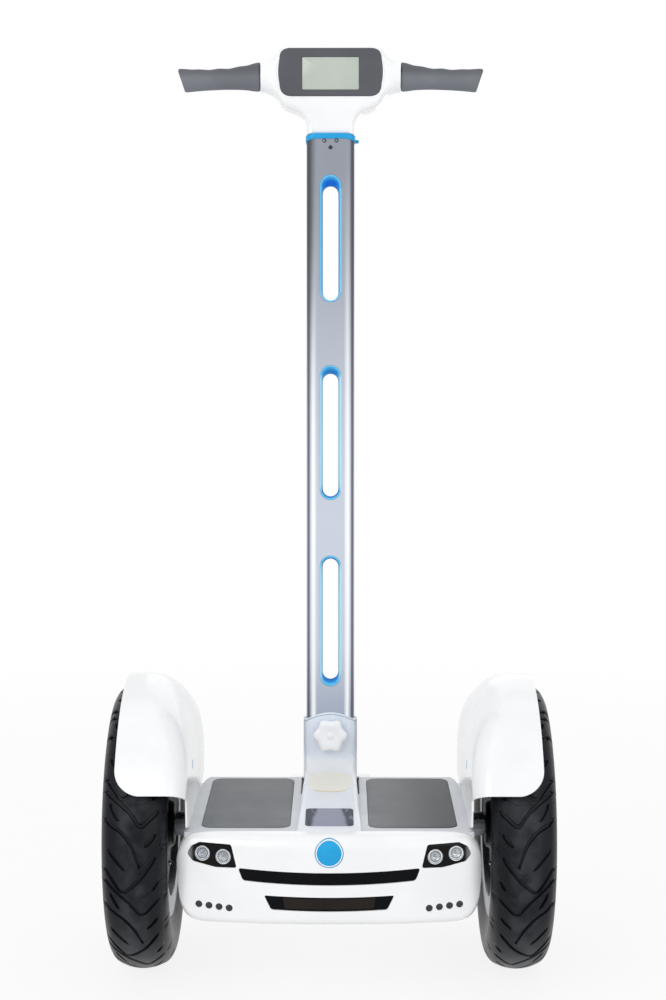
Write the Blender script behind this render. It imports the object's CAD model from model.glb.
"""Looks of a two-wheeled standing scooter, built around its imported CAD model.

Each sub-assembly is a class that builds its own meshes and dresses them. Sizes are in
millimetres in the frame that the CAD source is drawn in, and become metres in the row's
frame when a piece is placed.
"""

import logging
import math
from dataclasses import dataclass, field
from enum import Enum
from typing import Callable, Iterable, Sequence

import bmesh
import bpy
from mathutils import Matrix, Vector


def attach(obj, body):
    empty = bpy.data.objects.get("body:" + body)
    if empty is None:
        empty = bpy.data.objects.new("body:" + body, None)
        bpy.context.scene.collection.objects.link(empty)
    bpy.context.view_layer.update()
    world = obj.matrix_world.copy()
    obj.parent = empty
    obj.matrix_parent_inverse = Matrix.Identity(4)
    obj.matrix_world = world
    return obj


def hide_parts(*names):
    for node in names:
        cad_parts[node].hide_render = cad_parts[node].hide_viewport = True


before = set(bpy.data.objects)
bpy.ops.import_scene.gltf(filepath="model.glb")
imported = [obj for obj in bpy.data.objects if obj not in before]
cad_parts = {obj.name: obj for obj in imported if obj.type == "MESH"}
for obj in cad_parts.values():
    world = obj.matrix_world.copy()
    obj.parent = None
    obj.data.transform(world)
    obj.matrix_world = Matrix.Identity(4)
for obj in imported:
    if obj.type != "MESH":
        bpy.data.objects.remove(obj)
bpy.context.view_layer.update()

log = logging.getLogger("scooter")

MM = 0.001
TURN = 2 * math.pi
QUARTER = math.pi / 2
DECK_TOP = 248.5
AXLE_HEIGHT = 215.0
LEAN = math.radians(4.87)
SHIFT = Vector((0.0, -30.588394165, -0.818145752))
CHASSIS = Matrix.Scale(MM, 4) @ Matrix.Translation(SHIFT)
COLUMN = CHASSIS @ Matrix.Translation((0.0, 150.0, DECK_TOP)) @ Matrix.Rotation(-LEAN, 4, "X")

Flat = tuple[float, float]
Outline = list[Flat]
Colour = tuple[int, int, int]


class Side(Enum):
    """The rider's right and left."""

    RIGHT = 1
    LEFT = -1

    @property
    def word(self) -> str:
        """The side's name as the CAD nodes spell it."""
        return self.name.lower()

    def of(self, place: Matrix) -> Matrix:
        """A frame, mirrored for the left side."""
        return place @ Matrix.Scale(self.value, 4, Vector((1, 0, 0)))


class Axis(Enum):
    """The axis that a plate or a turned form runs along."""

    X = 0
    Y = 1
    Z = 2

    def ring(self, outline: Iterable[Flat], along: float) -> list[Vector]:
        """An outline's points (u, v) at a distance along the axis."""
        at = self.value
        return [Vector(((u, v)[:at] + (along,) + (u, v)[at:])) for u, v in outline]


def mix(low: float, high: float, share: float) -> float:
    """The value at a share of the way from low to high."""
    return low + (high - low) * share


def eased(low: float, high: float, value: float) -> float:
    """A smooth step from 0 at low to 1 at high."""
    share = min(1.0, max(0.0, (value - low) / (high - low)))
    return share * share * (3 - 2 * share)


def read_table(table: Sequence[Flat], at: float) -> float:
    """Reads a table of (place, value) pairs with a smooth curve between them.

    Args:
        table: Pairs in rising order of place.
        at: The place to read.

    Returns:
        The value there, held at the table's ends.
    """
    if at <= table[0][0]:
        return table[0][1]
    for i in range(len(table) - 1):
        (a, low), (b, high) = table[i], table[i + 1]
        if at <= b:
            before, after = table[max(i - 1, 0)], table[min(i + 2, len(table) - 1)]
            t = (at - a) / (b - a)
            start = (high - before[1]) / (b - before[0]) * (b - a)
            end = (after[1] - low) / (after[0] - a) * (b - a)
            start, end = (s if (high - low) * s > 0 else 0.0 for s in (start, end))
            return mix(low, high, t * t * (3 - 2 * t)) + t * (1 - t) * ((1 - t) * start - t * end)
    return table[-1][1]


def arc(
    radius: float, start: float, sweep: float, steps: int, middle: Flat = (0.0, 0.0),
) -> Outline:
    """Points on an arc, with both of its ends.

    Args:
        radius: Its radius.
        start: The angle that it starts at, in radians.
        sweep: How far it turns.
        steps: How many steps it gets.
        middle: Its middle.

    Returns:
        The points.
    """
    angles = [start + sweep * k / steps for k in range(steps + 1)]
    return [(middle[0] + radius * math.cos(a), middle[1] + radius * math.sin(a)) for a in angles]


def circle(radius: float, middle: Flat = (0.0, 0.0), steps: int = 48) -> Outline:
    """A round outline about a middle."""
    return arc(radius, 0.0, TURN, steps, middle)[:-1]


def rectangle(u: Flat, v: Flat, radius: float = 0.0, steps: int = 8) -> Outline:
    """A rectangle with round corners.

    Args:
        u: Its range along the first axis.
        v: Its range along the second axis.
        radius: The radius of its corners.
        steps: How many steps each corner gets.

    Returns:
        Its outline.
    """
    corners = [(u[0], v[0]), (u[1], v[0]), (u[1], v[1]), (u[0], v[1])]
    if radius <= 0:
        return corners
    result: Outline = []
    for i, (x, y) in enumerate(corners):
        middle = (x + radius * (1, -1, -1, 1)[i], y + radius * (1, 1, -1, -1)[i])
        result += arc(radius, math.pi * (1 + i / 2), QUARTER, steps, middle)
    return result


def capsule(width: float, length: float, middle: float, steps: int = 14) -> Outline:
    """An upright slot shape with half round ends.

    Args:
        width: Its width.
        length: Its length from end to end.
        middle: The height of its middle.
        steps: How many steps each end gets.

    Returns:
        Its outline.
    """
    reach = length / 2 - width / 2
    upper = arc(width / 2, 0.0, math.pi, steps, (0.0, middle + reach))
    return upper + arc(width / 2, math.pi, math.pi, steps, (0.0, middle - reach))


def shoulders(half: float, top: float, edge: float) -> Outline:
    """A section's flat top from right to left, with two round shoulders."""
    return (arc(edge, 0.0, QUARTER, 6, (half - edge, top - edge))
            + arc(edge, QUARTER, QUARTER, 6, (edge - half, top - edge)))


def round_corners(
    points: Sequence[Flat], radii: float | Sequence[float], steps: int = 6,
) -> Outline:
    """Rounds the corners of a closed outline.

    Args:
        points: The corners.
        radii: One radius for all corners, or one for each.
        steps: How many steps each round gets.

    Returns:
        The denser outline.
    """
    result: Outline = []
    for i, here in enumerate(points):
        radius = radii if isinstance(radii, (int, float)) else radii[i]
        corner = Vector(here)
        back = Vector(points[i - 1]) - corner
        on = Vector(points[(i + 1) % len(points)]) - corner
        half = back.angle(on, math.pi) / 2
        if radius <= 0 or half > math.radians(89):
            result.append(here)
            continue
        reach = min(radius / math.tan(half), back.length * 0.49, on.length * 0.49)
        start, end = corner + back.normalized() * reach, corner + on.normalized() * reach
        for t in (k / steps for k in range(steps + 1)):
            bent = start * (1 - t) ** 2 + corner * 2 * t * (1 - t) + end * t ** 2
            result.append((bent.x, bent.y))
    return result


def smooth_path(points: Sequence[Flat], steps: int) -> Outline:
    """A smooth open curve through points.

    Args:
        points: The points that it goes through.
        steps: How many steps lie between two of them.

    Returns:
        The points of the curve.
    """
    last = len(points) - 1
    result: Outline = []
    for i in range(last):
        a, b, c, d = (Vector(points[min(max(i + k, 0), last)]) for k in (-1, 0, 1, 2))
        for t in (k / steps for k in range(steps)):
            spot = (b * 2 + (c - a) * t + (a * 2 - b * 5 + c * 4 - d) * t ** 2
                    + (b * 3 - a - c * 3 + d) * t ** 3) / 2
            result.append((spot.x, spot.y))
    return result + [tuple(points[-1])]


def inset(outline: Sequence[Flat], distance: float | Sequence[float]) -> Outline:
    """Moves each point of a closed outline inwards.

    Args:
        outline: Points in either order round.
        distance: One distance for all points, or one for each.

    Returns:
        The moved outline, with the same number of points.
    """
    spots = [Vector(p) for p in outline]
    area = sum(spots[i - 1].x * p.y - p.x * spots[i - 1].y for i, p in enumerate(spots))
    result: Outline = []
    for i, here in enumerate(spots):
        edges = (here - spots[i - 1], spots[(i + 1) % len(spots)] - here)
        squares = [Vector((-e.y, e.x)).normalized() for e in edges if e.length > 1e-6]
        normal = sum(squares, Vector((0.0, 0.0))) * (1 if area > 0 else -1)
        if normal.length < 1e-6:
            result.append((here.x, here.y))
            continue
        normal.normalize()
        step = distance if isinstance(distance, (int, float)) else distance[i]
        moved = here + normal * (step / max(abs(normal.dot(squares[0])), 0.5))
        result.append((moved.x, moved.y))
    return result


@dataclass
class Form:
    """A mesh as plain points and faces, in millimetres."""

    points: list[Vector] = field(default_factory=list)
    faces: list[tuple[int, ...]] = field(default_factory=list)

    def add(self, other: "Form") -> "Form":
        """Adds another form's points and faces.

        Args:
            other: The other form.

        Returns:
            This form.
        """
        start = len(self.points)
        self.points.extend(other.points)
        self.faces.extend(tuple(start + i for i in face) for face in other.faces)
        return self

    def moved(self, matrix: Matrix) -> "Form":
        """A copy put through a matrix."""
        return Form([matrix @ p for p in self.points], list(self.faces))

    def mirrored(self) -> "Form":
        """A copy mirrored across the middle of the scooter."""
        return self.moved(Matrix.Scale(-1, 4, Vector((1, 0, 0))))


def skin(rings: Sequence[Sequence[Vector]], capped: bool = True) -> Form:
    """A skin through closed rings of points.

    Args:
        rings: Rings with the same number of points.
        capped: Whether the first and last ring are filled.

    Returns:
        The form.
    """
    size = len(rings[0])
    form = Form([Vector(p) for ring in rings for p in ring])
    for r in range(len(rings) - 1):
        for i in range(size):
            a, b = r * size + i, r * size + (i + 1) % size
            form.faces.append((a, b, b + size, a + size))
    if capped:
        last = (len(rings) - 1) * size
        form.faces += [tuple(range(size)), tuple(range(last, last + size))]
    return form


def looped(rings: Sequence[Sequence[Vector]]) -> Form:
    """A skin that runs from the last ring back to the first."""
    return skin([*rings, rings[0]], capped=False)


def plate(outline: Outline, span: Flat, axis: Axis, edge: float = 0.0, steps: int = 3) -> Form:
    """A plate with an outline, and rounded edges on both faces.

    Args:
        outline: Its outline across the axis.
        span: Where it starts and ends along the axis.
        axis: The axis that it is thick along.
        edge: The radius of its edges.
        steps: How many steps the edge rounds get.

    Returns:
        The form.
    """
    turns = [QUARTER * k / steps for k in range(steps + 1)] if edge > 0 else [0.0]
    rounds = [(edge * (1 - math.sin(a)), edge * (1 - math.cos(a))) for a in turns]
    levels = [(span[0] + along, shrink) for along, shrink in reversed(rounds)]
    levels += [(span[1] - along, shrink) for along, shrink in rounds]
    return skin([
        axis.ring(inset(outline, shrink) if shrink > 0 else outline, along)
        for along, shrink in levels
    ])


def walled(outer: Outline, inner: Outline, span: Flat, axis: Axis, edge: float) -> Form:
    """A ring between two outlines with the same number of points.

    Args:
        outer: The outside outline.
        inner: The inside outline.
        span: Where the ring starts and ends along the axis.
        axis: The axis that it is thick along.
        edge: The radius of its edges.

    Returns:
        The form.
    """
    soft = edge * 0.3
    low, high = span
    levels = [
        (outer, 0.0, low + edge), (outer, 0.0, high - edge), (outer, soft, high - soft),
        (outer, edge, high), (inner, -edge, high), (inner, -soft, high - soft),
        (inner, 0.0, high - edge), (inner, 0.0, low + edge), (inner, -soft, low + soft),
        (inner, -edge, low), (outer, edge, low), (outer, soft, low + soft),
    ]
    return looped([axis.ring(inset(line, step), along) for line, step, along in levels])


def turned(profile: Iterable[Flat], steps: int, axis: Axis, middle: Flat = (0.0, 0.0)) -> Form:
    """A closed profile turned about an axis.

    Args:
        profile: Closed list of (along, radius).
        steps: How many steps make the round.
        axis: The axis that it turns about.
        middle: Where the axis passes across the other two axes.

    Returns:
        The form.
    """
    rounds = [axis.ring(circle(radius, middle, steps), along) for along, radius in profile]
    return looped([list(ring) for ring in zip(*rounds)])


def sliced(form: Form, levels: Iterable[float]) -> Form:
    """Cuts a form's faces along level planes, so that it can be bent there.

    Args:
        form: The form.
        levels: Heights along Z.

    Returns:
        The same shape with more faces.
    """
    shape = bmesh.new()
    points = [shape.verts.new(p) for p in form.points]
    for face in form.faces:
        shape.faces.new([points[i] for i in face])
    for level in levels:
        bmesh.ops.bisect_plane(
            shape, geom=shape.verts[:] + shape.edges[:] + shape.faces[:],
            plane_co=(0.0, 0.0, level), plane_no=(0.0, 0.0, 1.0),
        )
    shape.verts.index_update()
    faces = [tuple(v.index for v in f.verts) for f in shape.faces]
    result = Form([v.co.copy() for v in shape.verts], faces)
    shape.free()
    return result


class Cut(Enum):
    """What a boolean does with its tool."""

    TAKE = "DIFFERENCE"
    JOIN = "UNION"
    KEEP = "INTERSECT"


class Piece:
    """One piece of the scooter, which is cut, softened and dressed step by step."""

    def __init__(self, name: str, form: Form, place: Matrix, smooth: float = 35.0) -> None:
        """Makes the Blender object at rest in the row's frame.

        Args:
            name: The piece's name.
            form: Its form, in millimetres.
            place: The matrix from its own frame to the row's.
            smooth: Edges that bend more than this many degrees stay sharp.
        """
        mesh = bpy.data.meshes.new(name)
        mesh.from_pydata([place @ p for p in form.points], [], form.faces)
        self.thing = bpy.data.objects.new(name, mesh)
        self.place = place
        bpy.context.scene.collection.objects.link(self.thing)
        self.weld(smooth)

    def weld(self, smooth: float = 35.0) -> None:
        """Welds the mesh, turns its faces outwards and marks its sharp edges.

        Args:
            smooth: Edges that bend more than this many degrees stay sharp.
        """
        shape = bmesh.new()
        shape.from_mesh(self.thing.data)
        bmesh.ops.remove_doubles(shape, verts=shape.verts, dist=2e-6)
        bmesh.ops.dissolve_degenerate(shape, edges=shape.edges, dist=1e-7)
        bmesh.ops.recalc_face_normals(shape, faces=shape.faces)
        for face in shape.faces:
            face.smooth = True
        for edge in shape.edges:
            bend = edge.calc_face_angle(0.0)
            edge.smooth = len(edge.link_faces) != 2 or bend < math.radians(smooth)
        shape.to_mesh(self.thing.data)
        shape.free()

    def cut(self, *tools: Form, way: Cut = Cut.TAKE, place: Matrix | None = None) -> "Piece":
        """Takes forms from the piece, joins them to it, or keeps only what they share.

        Args:
            tools: The forms, one boolean each.
            way: What each boolean does.
            place: The matrix from the tools' frame to the row's, if not the piece's own.

        Returns:
            This piece.
        """
        for form in tools:
            tool = Piece("tool", form, self.place if place is None else place).thing
            step = self.thing.modifiers.new("carve", "BOOLEAN")
            step.operation = way.value
            step.solver = "MANIFOLD"
            step.object = tool
            graph = bpy.context.evaluated_depsgraph_get()
            result = bpy.data.meshes.new_from_object(self.thing.evaluated_get(graph))
            self.thing.modifiers.clear()
            self.thing.data = result
            bpy.data.objects.remove(tool)
        self.weld()
        return self

    def soften(self, width: float, steps: int = 2, angle: float = 32.0) -> "Piece":
        """Rounds the hard edges with a bevel.

        Args:
            width: The bevel's width in millimetres.
            steps: How many steps it gets.
            angle: Edges that bend more than this many degrees are rounded.

        Returns:
            This piece.
        """
        for edge in self.thing.data.edges:
            edge.use_edge_sharp = False
        bevel(self.thing, width, steps, angle)
        even = self.thing.modifiers.new("even shading", "WEIGHTED_NORMAL")
        even.keep_sharp = True
        even.weight = 60
        return self

    def dress(self, finish: "Finish", body: str, *replaced: str) -> None:
        """Gives the piece its finish and body, and names the CAD nodes that it stands for.

        Args:
            finish: Its finish.
            body: The CAD body that it rides on.
            replaced: The CAD nodes that it replaces.
        """
        finish.give(self.thing)
        for polygon in self.thing.data.polygons:
            polygon.material_index = 0
        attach(self.thing, body)
        if replaced:
            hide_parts(*replaced)
        log.info("%s: %d faces on %s", self.thing.name, len(self.thing.data.polygons), body)


def bevel(thing: bpy.types.Object, width: float, steps: int, angle: float) -> None:
    """Adds a bevel modifier for edges that bend more than an angle.

    Args:
        thing: The object.
        width: The bevel's width in millimetres.
        steps: How many steps it gets.
        angle: The least bend in degrees.
    """
    round_edges = thing.modifiers.new("round edges", "BEVEL")
    round_edges.width = width * MM
    round_edges.segments = steps
    round_edges.limit_method = "ANGLE"
    round_edges.angle_limit = math.radians(angle)
    round_edges.use_clamp_overlap = True
    round_edges.miter_outer = "MITER_ARC" if steps > 1 else "MITER_SHARP"


def screen(colour: Sequence[int]) -> tuple[float, ...]:
    """Screen values from 0 to 255 as a linear colour with full opacity."""
    shares = [c / 255 for c in colour]
    return (*(s / 12.92 if s <= 0.04045 else ((s + 0.055) / 1.055) ** 2.4 for s in shares), 1.0)


class Signal:
    """A value or a colour that a shader node gives, with short ways to work on it."""

    def __init__(self, tree: "Tree", socket: bpy.types.NodeSocket) -> None:
        """Keeps the socket and the tree that it belongs to."""
        self.tree = tree
        self.socket = socket

    def math(self, operation: str, other: "Signal | float" = 0.0) -> "Signal":
        """One sum of this value, with another where it takes two."""
        return self.tree.node("ShaderNodeMath", 0, {0: self, 1: other}, operation=operation)

    def __add__(self, other: "Signal | float") -> "Signal":
        """The sum of two values."""
        return self.math("ADD", other)

    def __sub__(self, other: "Signal | float") -> "Signal":
        """The difference of two values."""
        return self.math("SUBTRACT", other)

    def __rsub__(self, other: float) -> "Signal":
        """A number less this value."""
        return self.tree.node("ShaderNodeMath", 0, {0: other, 1: self}, operation="SUBTRACT")

    def __mul__(self, other: "Signal | float") -> "Signal":
        """The product of two values."""
        return self.math("MULTIPLY", other)

    def size(self) -> "Signal":
        """The value without its sign."""
        return self.math("ABSOLUTE")

    def ramp(self, low: float, high: float) -> "Signal":
        """A smooth step from 0 to 1 between two values."""
        ends = {"Value": self, "From Min": low, "From Max": high}
        return self.tree.node("ShaderNodeMapRange", "Result", ends, interpolation_type="SMOOTHSTEP")

    def band(self, low: float, high: float, soft: float) -> "Signal":
        """1 between two values, with edges of a softness."""
        return self.ramp(low - soft, low + soft) - self.ramp(high - soft, high + soft)

    def stretch(self, low: float, high: float) -> "Signal":
        """A value from 0 to 1, spread over another range."""
        ends = {"Value": self, "To Min": low, "To Max": high}
        return self.tree.node("ShaderNodeMapRange", "Result", ends)

    def towards(self, share: "Signal", colour: Colour) -> "Signal":
        """This colour, drawn towards a screen colour by a share."""
        return self.tree.blend(share, self, screen(colour))


class Tree:
    """Short ways to add the shader nodes that the finishes use."""

    def __init__(self, tree: bpy.types.NodeTree) -> None:
        """Starts the tree with the piece's own coordinates, in metres.

        Args:
            tree: The nodes of a material or of the world.
        """
        self.tree = tree
        self.place = self.node("ShaderNodeTexCoord", "Object")
        self.x, self.y, self.z = (
            self.node("ShaderNodeSeparateXYZ", axis, {"Vector": self.place}) for axis in "XYZ"
        )

    def node(
        self, kind: str, output: str | int, inputs: dict | None = None, **settings: str,
    ) -> Signal:
        """Adds a node.

        Args:
            kind: Its type.
            output: The output to use.
            inputs: What its inputs get: signals, or constants.
            settings: Its properties.

        Returns:
            What the output gives.
        """
        node = self.tree.nodes.new(kind)
        for name, value in settings.items():
            setattr(node, name, value)
        self.give(node, inputs or {})
        return Signal(self, node.outputs[output])

    def give(self, node: bpy.types.Node, inputs: dict) -> None:
        """Links a node's inputs to signals, or sets them to constants.

        Args:
            node: The node.
            inputs: What its inputs get.
        """
        for name, value in inputs.items():
            if isinstance(value, Signal):
                self.tree.links.new(value.socket, node.inputs[name])
            else:
                node.inputs[name].default_value = value

    def find(self, kind: str) -> bpy.types.Node:
        """The tree's first node of a type."""
        return next(n for n in self.tree.nodes if n.bl_idname == kind)

    def noise(self, scale: float, detail: float, stretch: Sequence[float] = (1, 1, 1)) -> Signal:
        """Cloudy noise from 0 to 1.

        Args:
            scale: How many clouds fit in a metre.
            detail: How fine it gets.
            stretch: Factors on the coordinates.

        Returns:
            The noise.
        """
        place = self.node("ShaderNodeMapping", "Vector", {"Scale": stretch, "Vector": self.place})
        inputs = {"Scale": scale, "Detail": detail, "Vector": place}
        return self.node("ShaderNodeTexNoise", "Fac", inputs)

    def cells(self, scale: float) -> Signal:
        """Rounded cells, as on a pebbled surface."""
        inputs = {"Scale": scale, "Vector": self.place}
        return self.node("ShaderNodeTexVoronoi", "Distance", inputs, feature="SMOOTH_F1")

    def waves(self, scale: float) -> Signal:
        """Even ribs across X."""
        inputs = {"Scale": scale, "Distortion": 0.2, "Vector": self.place}
        return self.node("ShaderNodeTexWave", "Fac", inputs, bands_direction="X")

    def blend(self, share: Signal, first: object, second: object) -> Signal:
        """A colour between two colours."""
        ends = {0: share, 6: first, 7: second}
        return self.node("ShaderNodeMix", 2, ends, data_type="RGBA")

    def seen_white(self, lit: Signal, white: Signal, share: Signal | None = None) -> None:
        """Shows a white shader to the camera and in reflections, and another one to light.

        Args:
            lit: The shader that light meets.
            white: The shader that is seen.
            share: How much of the white shader is seen, if not all.
        """
        looks = self.node("ShaderNodeLightPath", "Is Camera Ray")
        for ray in ("Is Glossy Ray", "Is Transmission Ray"):
            looks = looks.math("MAXIMUM", self.node("ShaderNodeLightPath", ray))
        if share is not None:
            looks = looks * share
        both = self.node("ShaderNodeMixShader", 0, {0: looks, 1: lit, 2: white})
        output = next(n for n in self.tree.nodes if n.bl_idname.startswith("ShaderNodeOutput"))
        self.give(output, {"Surface": both})


class Grain(Enum):
    """The small surface structure that a finish has."""

    MOULDED = "moulded"
    PEBBLED = "pebbled"
    BRUSHED = "brushed"
    CAST = "cast"
    RIBBED = "ribbed"


@dataclass(frozen=True)
class Finish:
    """A surface finish that is made of shader nodes.

    Args:
        slot: The record's material slot that it belongs to.
        name: The material's name.
        colour: Its colour as 0 to 255 screen values.
        shade: The colour that its blotches drift to, in the same values.
        roughness: The least and the greatest roughness.
        grain: The kind of small structure.
        grain_size: The size of that structure in millimetres.
        relief: The depth of that structure in millimetres.
        metallic: 1 for bare metal.
        coat: Strength of a clear coat.
        wear: How strongly rubbed marks show.
        brush: How much a brushed grain is stretched along X, Y and Z.
        sheen: Strength of a dusty sheen.
        see_through: How much light passes.
        specular: The specular level.
    """

    slot: str
    name: str
    colour: Colour
    shade: Colour
    roughness: Flat = (0.3, 0.4)
    grain: Grain = Grain.MOULDED
    grain_size: float = 0.6
    relief: float = 0.01
    metallic: float = 0.0
    coat: float = 0.0
    wear: float = 0.25
    brush: tuple[float, float, float] = (1.0, 1.0, 12.0)
    sheen: float = 0.0
    see_through: float = 0.0
    specular: float = 0.5

    def give(self, thing: bpy.types.Object) -> None:
        """Puts the finish on an object, and makes its material on first use."""
        thing.data.materials.clear()
        thing.data.materials.append(bpy.data.materials.get(self.name) or self.build())

    def build(self) -> bpy.types.Material:
        """Builds the node tree: colour drift, wear, grain and roughness.

        Returns:
            The material.
        """
        material = bpy.data.materials.new(self.name)
        material.use_nodes = True
        tree = Tree(material.node_tree)
        drift = tree.noise(14.0, 3.0).ramp(0.35, 0.68)
        rubbed = tree.noise(55.0, 6.0, (1.0, 2.5, 0.6)).ramp(0.62, 0.74)
        colour = tree.blend(drift, screen(self.colour), screen(self.shade))
        colour = colour.towards(rubbed * (self.wear * 0.3), self.worn_colour())
        rough = tree.noise(90.0, 4.0).stretch(*self.roughness) + rubbed * (self.wear * 0.22)
        grain = {"Strength": 1.0, "Distance": self.relief * MM, "Height": self.structure(tree)}
        tree.give(tree.find("ShaderNodeBsdfPrincipled"), {
            "Metallic": self.metallic,
            "Coat Weight": self.coat,
            "Coat Roughness": 0.08,
            "Sheen Weight": self.sheen,
            "Sheen Roughness": 0.5,
            "Transmission Weight": self.see_through,
            "Specular IOR Level": self.specular,
            "Base Color": self.paint(tree, colour),
            "Roughness": rough,
            "Normal": tree.node("ShaderNodeBump", "Normal", grain),
        })
        return material

    def paint(self, tree: Tree, colour: Signal) -> Signal:
        """The colour after anything that a finish paints on top of it."""
        return colour

    def worn_colour(self) -> Colour:
        """The colour of rubbed places.

        Returns:
            A greyer colour, paler on dark finishes and darker on pale ones.
        """
        middle = sum(self.colour) / 3
        lift = 16 if middle < 128 else -14
        return tuple(int(min(255, max(0, mix(c, middle, 0.3) + lift))) for c in self.colour)

    def structure(self, tree: Tree) -> Signal:
        """The height pattern of the finish's grain.

        Args:
            tree: The material's nodes.

        Returns:
            The height, from 0 to about 1.
        """
        density = 1.0 / (self.grain_size * MM)
        if self.grain is Grain.BRUSHED:
            lines = tree.noise(density, 5.0, tuple(1.0 / s for s in self.brush))
            return lines + tree.noise(density / 6, 2.0) * 0.3
        if self.grain is Grain.PEBBLED:
            return tree.cells(density) + tree.noise(density * 1.7, 3.0) * 0.4
        if self.grain is Grain.CAST:
            return tree.noise(density / 3, 5.0) + tree.cells(density) * 0.5
        if self.grain is Grain.RIBBED:
            return tree.waves(density / 6) + tree.noise(density, 3.0) * 0.3
        return tree.noise(density / 8, 2.0) * 0.7 + tree.noise(density, 2.0) * 0.3


@dataclass(frozen=True)
class DustyRubber(Finish):
    """Tyre rubber whose tread is greyer where it meets the road."""

    def paint(self, tree: Tree, colour: Signal) -> Signal:
        """Adds dust towards the crown of the tread.

        Args:
            tree: The material's nodes.
            colour: The clean rubber.

        Returns:
            The dusty rubber.
        """
        height, depth = tree.z - 0.2142, tree.y + 0.0306
        far = (height * height + depth * depth).math("POWER", 0.5)
        dust = far.ramp(0.2085, 0.2150) * 0.36 * tree.noise(40.0, 5.0).ramp(0.3, 0.7)
        return colour.towards(dust, (84, 88, 96))


@dataclass(frozen=True)
class AnodisedColumn(Finish):
    """Satin column metal: dark lines on its corners, bright bands beside them."""

    half_width: float = 37.85

    def paint(self, tree: Tree, colour: Signal) -> Signal:
        """Adds the light and dark bands that run up the column.

        Args:
            tree: The material's nodes.
            colour: The colour without the bands.

        Returns:
            The colour with the bands.
        """
        side = tree.x * (1 / (self.half_width * MM))
        share = side.size()
        low = 1.0 - tree.z.ramp(0.62, 1.27)
        near_foot = 1.0 - tree.z.ramp(0.33, 0.47)
        colour = colour.towards(low, (203, 210, 223)).towards(near_foot * 0.8, (156, 167, 187))
        colour = colour.towards(share.band(0.62, 0.78, 0.08) * low, (252, 253, 255))
        colour = colour.towards(share.band(0.86, 0.965, 0.04) * 0.82, (66, 69, 76))
        left, right = (side * -1.0).ramp(0.56, 0.8), side.ramp(0.72, 0.94) * 0.75
        high = left.math("MAXIMUM", right) * tree.z.ramp(0.8, 1.15)
        return colour.towards(high * (1.0 - share.ramp(0.955, 1.0)) * 0.8, (68, 71, 77))


@dataclass(frozen=True)
class SlotMoulding(Finish):
    """The slots' moulding: pale sides, and a stronger blue at the ends and high up."""

    first_middle: float = 497.3
    pitch: float = 298.9
    lean: float = 0.0853
    start: float = 98.3

    def paint(self, tree: Tree, colour: Signal) -> Signal:
        """Adds the stronger blue and the darker line round the back of the wall.

        Args:
            tree: The material's nodes.
            colour: The pale colour of the sides.

        Returns:
            The colour of the whole moulding.
        """
        upper = tree.z.ramp(0.92, 1.06)
        depth = tree.y - self.start * MM - tree.z * self.lean
        away = (tree.z - self.first_middle * MM).math("PINGPONG", self.pitch * MM / 2)
        ends = away.ramp(0.082, 0.096)
        deep = ends * depth.ramp(-0.020, 0.004)
        line = depth.ramp(0.0105, 0.0122) - depth.ramp(0.0172, 0.0180)
        colour = colour.towards(upper * 0.85, (84, 196, 246)).towards(ends, (100, 202, 250))
        colour = colour.towards(deep, (46, 150, 230)).towards(deep * upper, (22, 138, 244))
        return colour.towards(line * 0.5, (60, 130, 180))


@dataclass(frozen=True)
class GripRubber(Finish):
    """Grey rubber that is darker along the top of the grips."""

    def paint(self, tree: Tree, colour: Signal) -> Signal:
        """Adds the darker top."""
        return colour.towards(tree.z.ramp(1.350, 1.368) * 0.8, (84, 86, 92))


@dataclass(frozen=True)
class LampChrome(Finish):
    """Lamp reflector metal with fine dark rings round each lamp's middle."""

    middles: tuple[Flat, Flat] = ((151.0, 218.3), (181.0, 221.6))
    pitch: float = 2.4

    def paint(self, tree: Tree, colour: Signal) -> Signal:
        """Adds the rings.

        Args:
            tree: The material's nodes.
            colour: The bare metal.

        Returns:
            The metal with its rings.
        """
        reach = []
        for x, z in self.middles:
            aside, above = tree.x.size() - x * MM, tree.z - z * MM
            reach.append((aside * aside + above * above).math("SQRT"))
        turns = reach[0].math("MINIMUM", reach[1]) * (TURN / (self.pitch * MM))
        return colour.towards(turns.math("SINE").ramp(-0.2, 0.7) * 0.62, (96, 100, 104))


@dataclass(frozen=True)
class SleeveShell(Finish):
    """The sleeve's pale shell: darker sides, and a fine line under its arched rim."""

    half_width: float = 42.4
    crest: float = 356.1
    fall: float = 12.9

    def paint(self, tree: Tree, colour: Signal) -> Signal:
        """Adds the shaded sides, the paler foot and the line under the rim.

        Args:
            tree: The material's nodes.
            colour: The shell's colour.

        Returns:
            The shaded colour.
        """
        share = tree.x.size() * (1 / (self.half_width * MM))
        sides = share.ramp(0.86, 0.99) * tree.z.ramp(0.272, 0.31)
        foot = 1.0 - tree.z.ramp(0.27, 0.296)
        drop = share * share * (-self.fall * MM) + self.crest * MM - tree.z
        colour = colour.towards(sides * 0.7, (150, 158, 172)).towards(foot * 0.8, (238, 239, 241))
        return colour.towards(drop.band(0.0023, 0.0037, 0.0003) * 0.75, (140, 147, 158))


@dataclass(frozen=True)
class HousingGloss(Finish):
    """Glossy black plastic that turns grey at its outer tip."""

    def paint(self, tree: Tree, colour: Signal) -> Signal:
        """Adds the grey tip."""
        return colour.towards(tree.x.size().ramp(0.1925, 0.2) * 0.6, (158, 160, 164))


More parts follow.
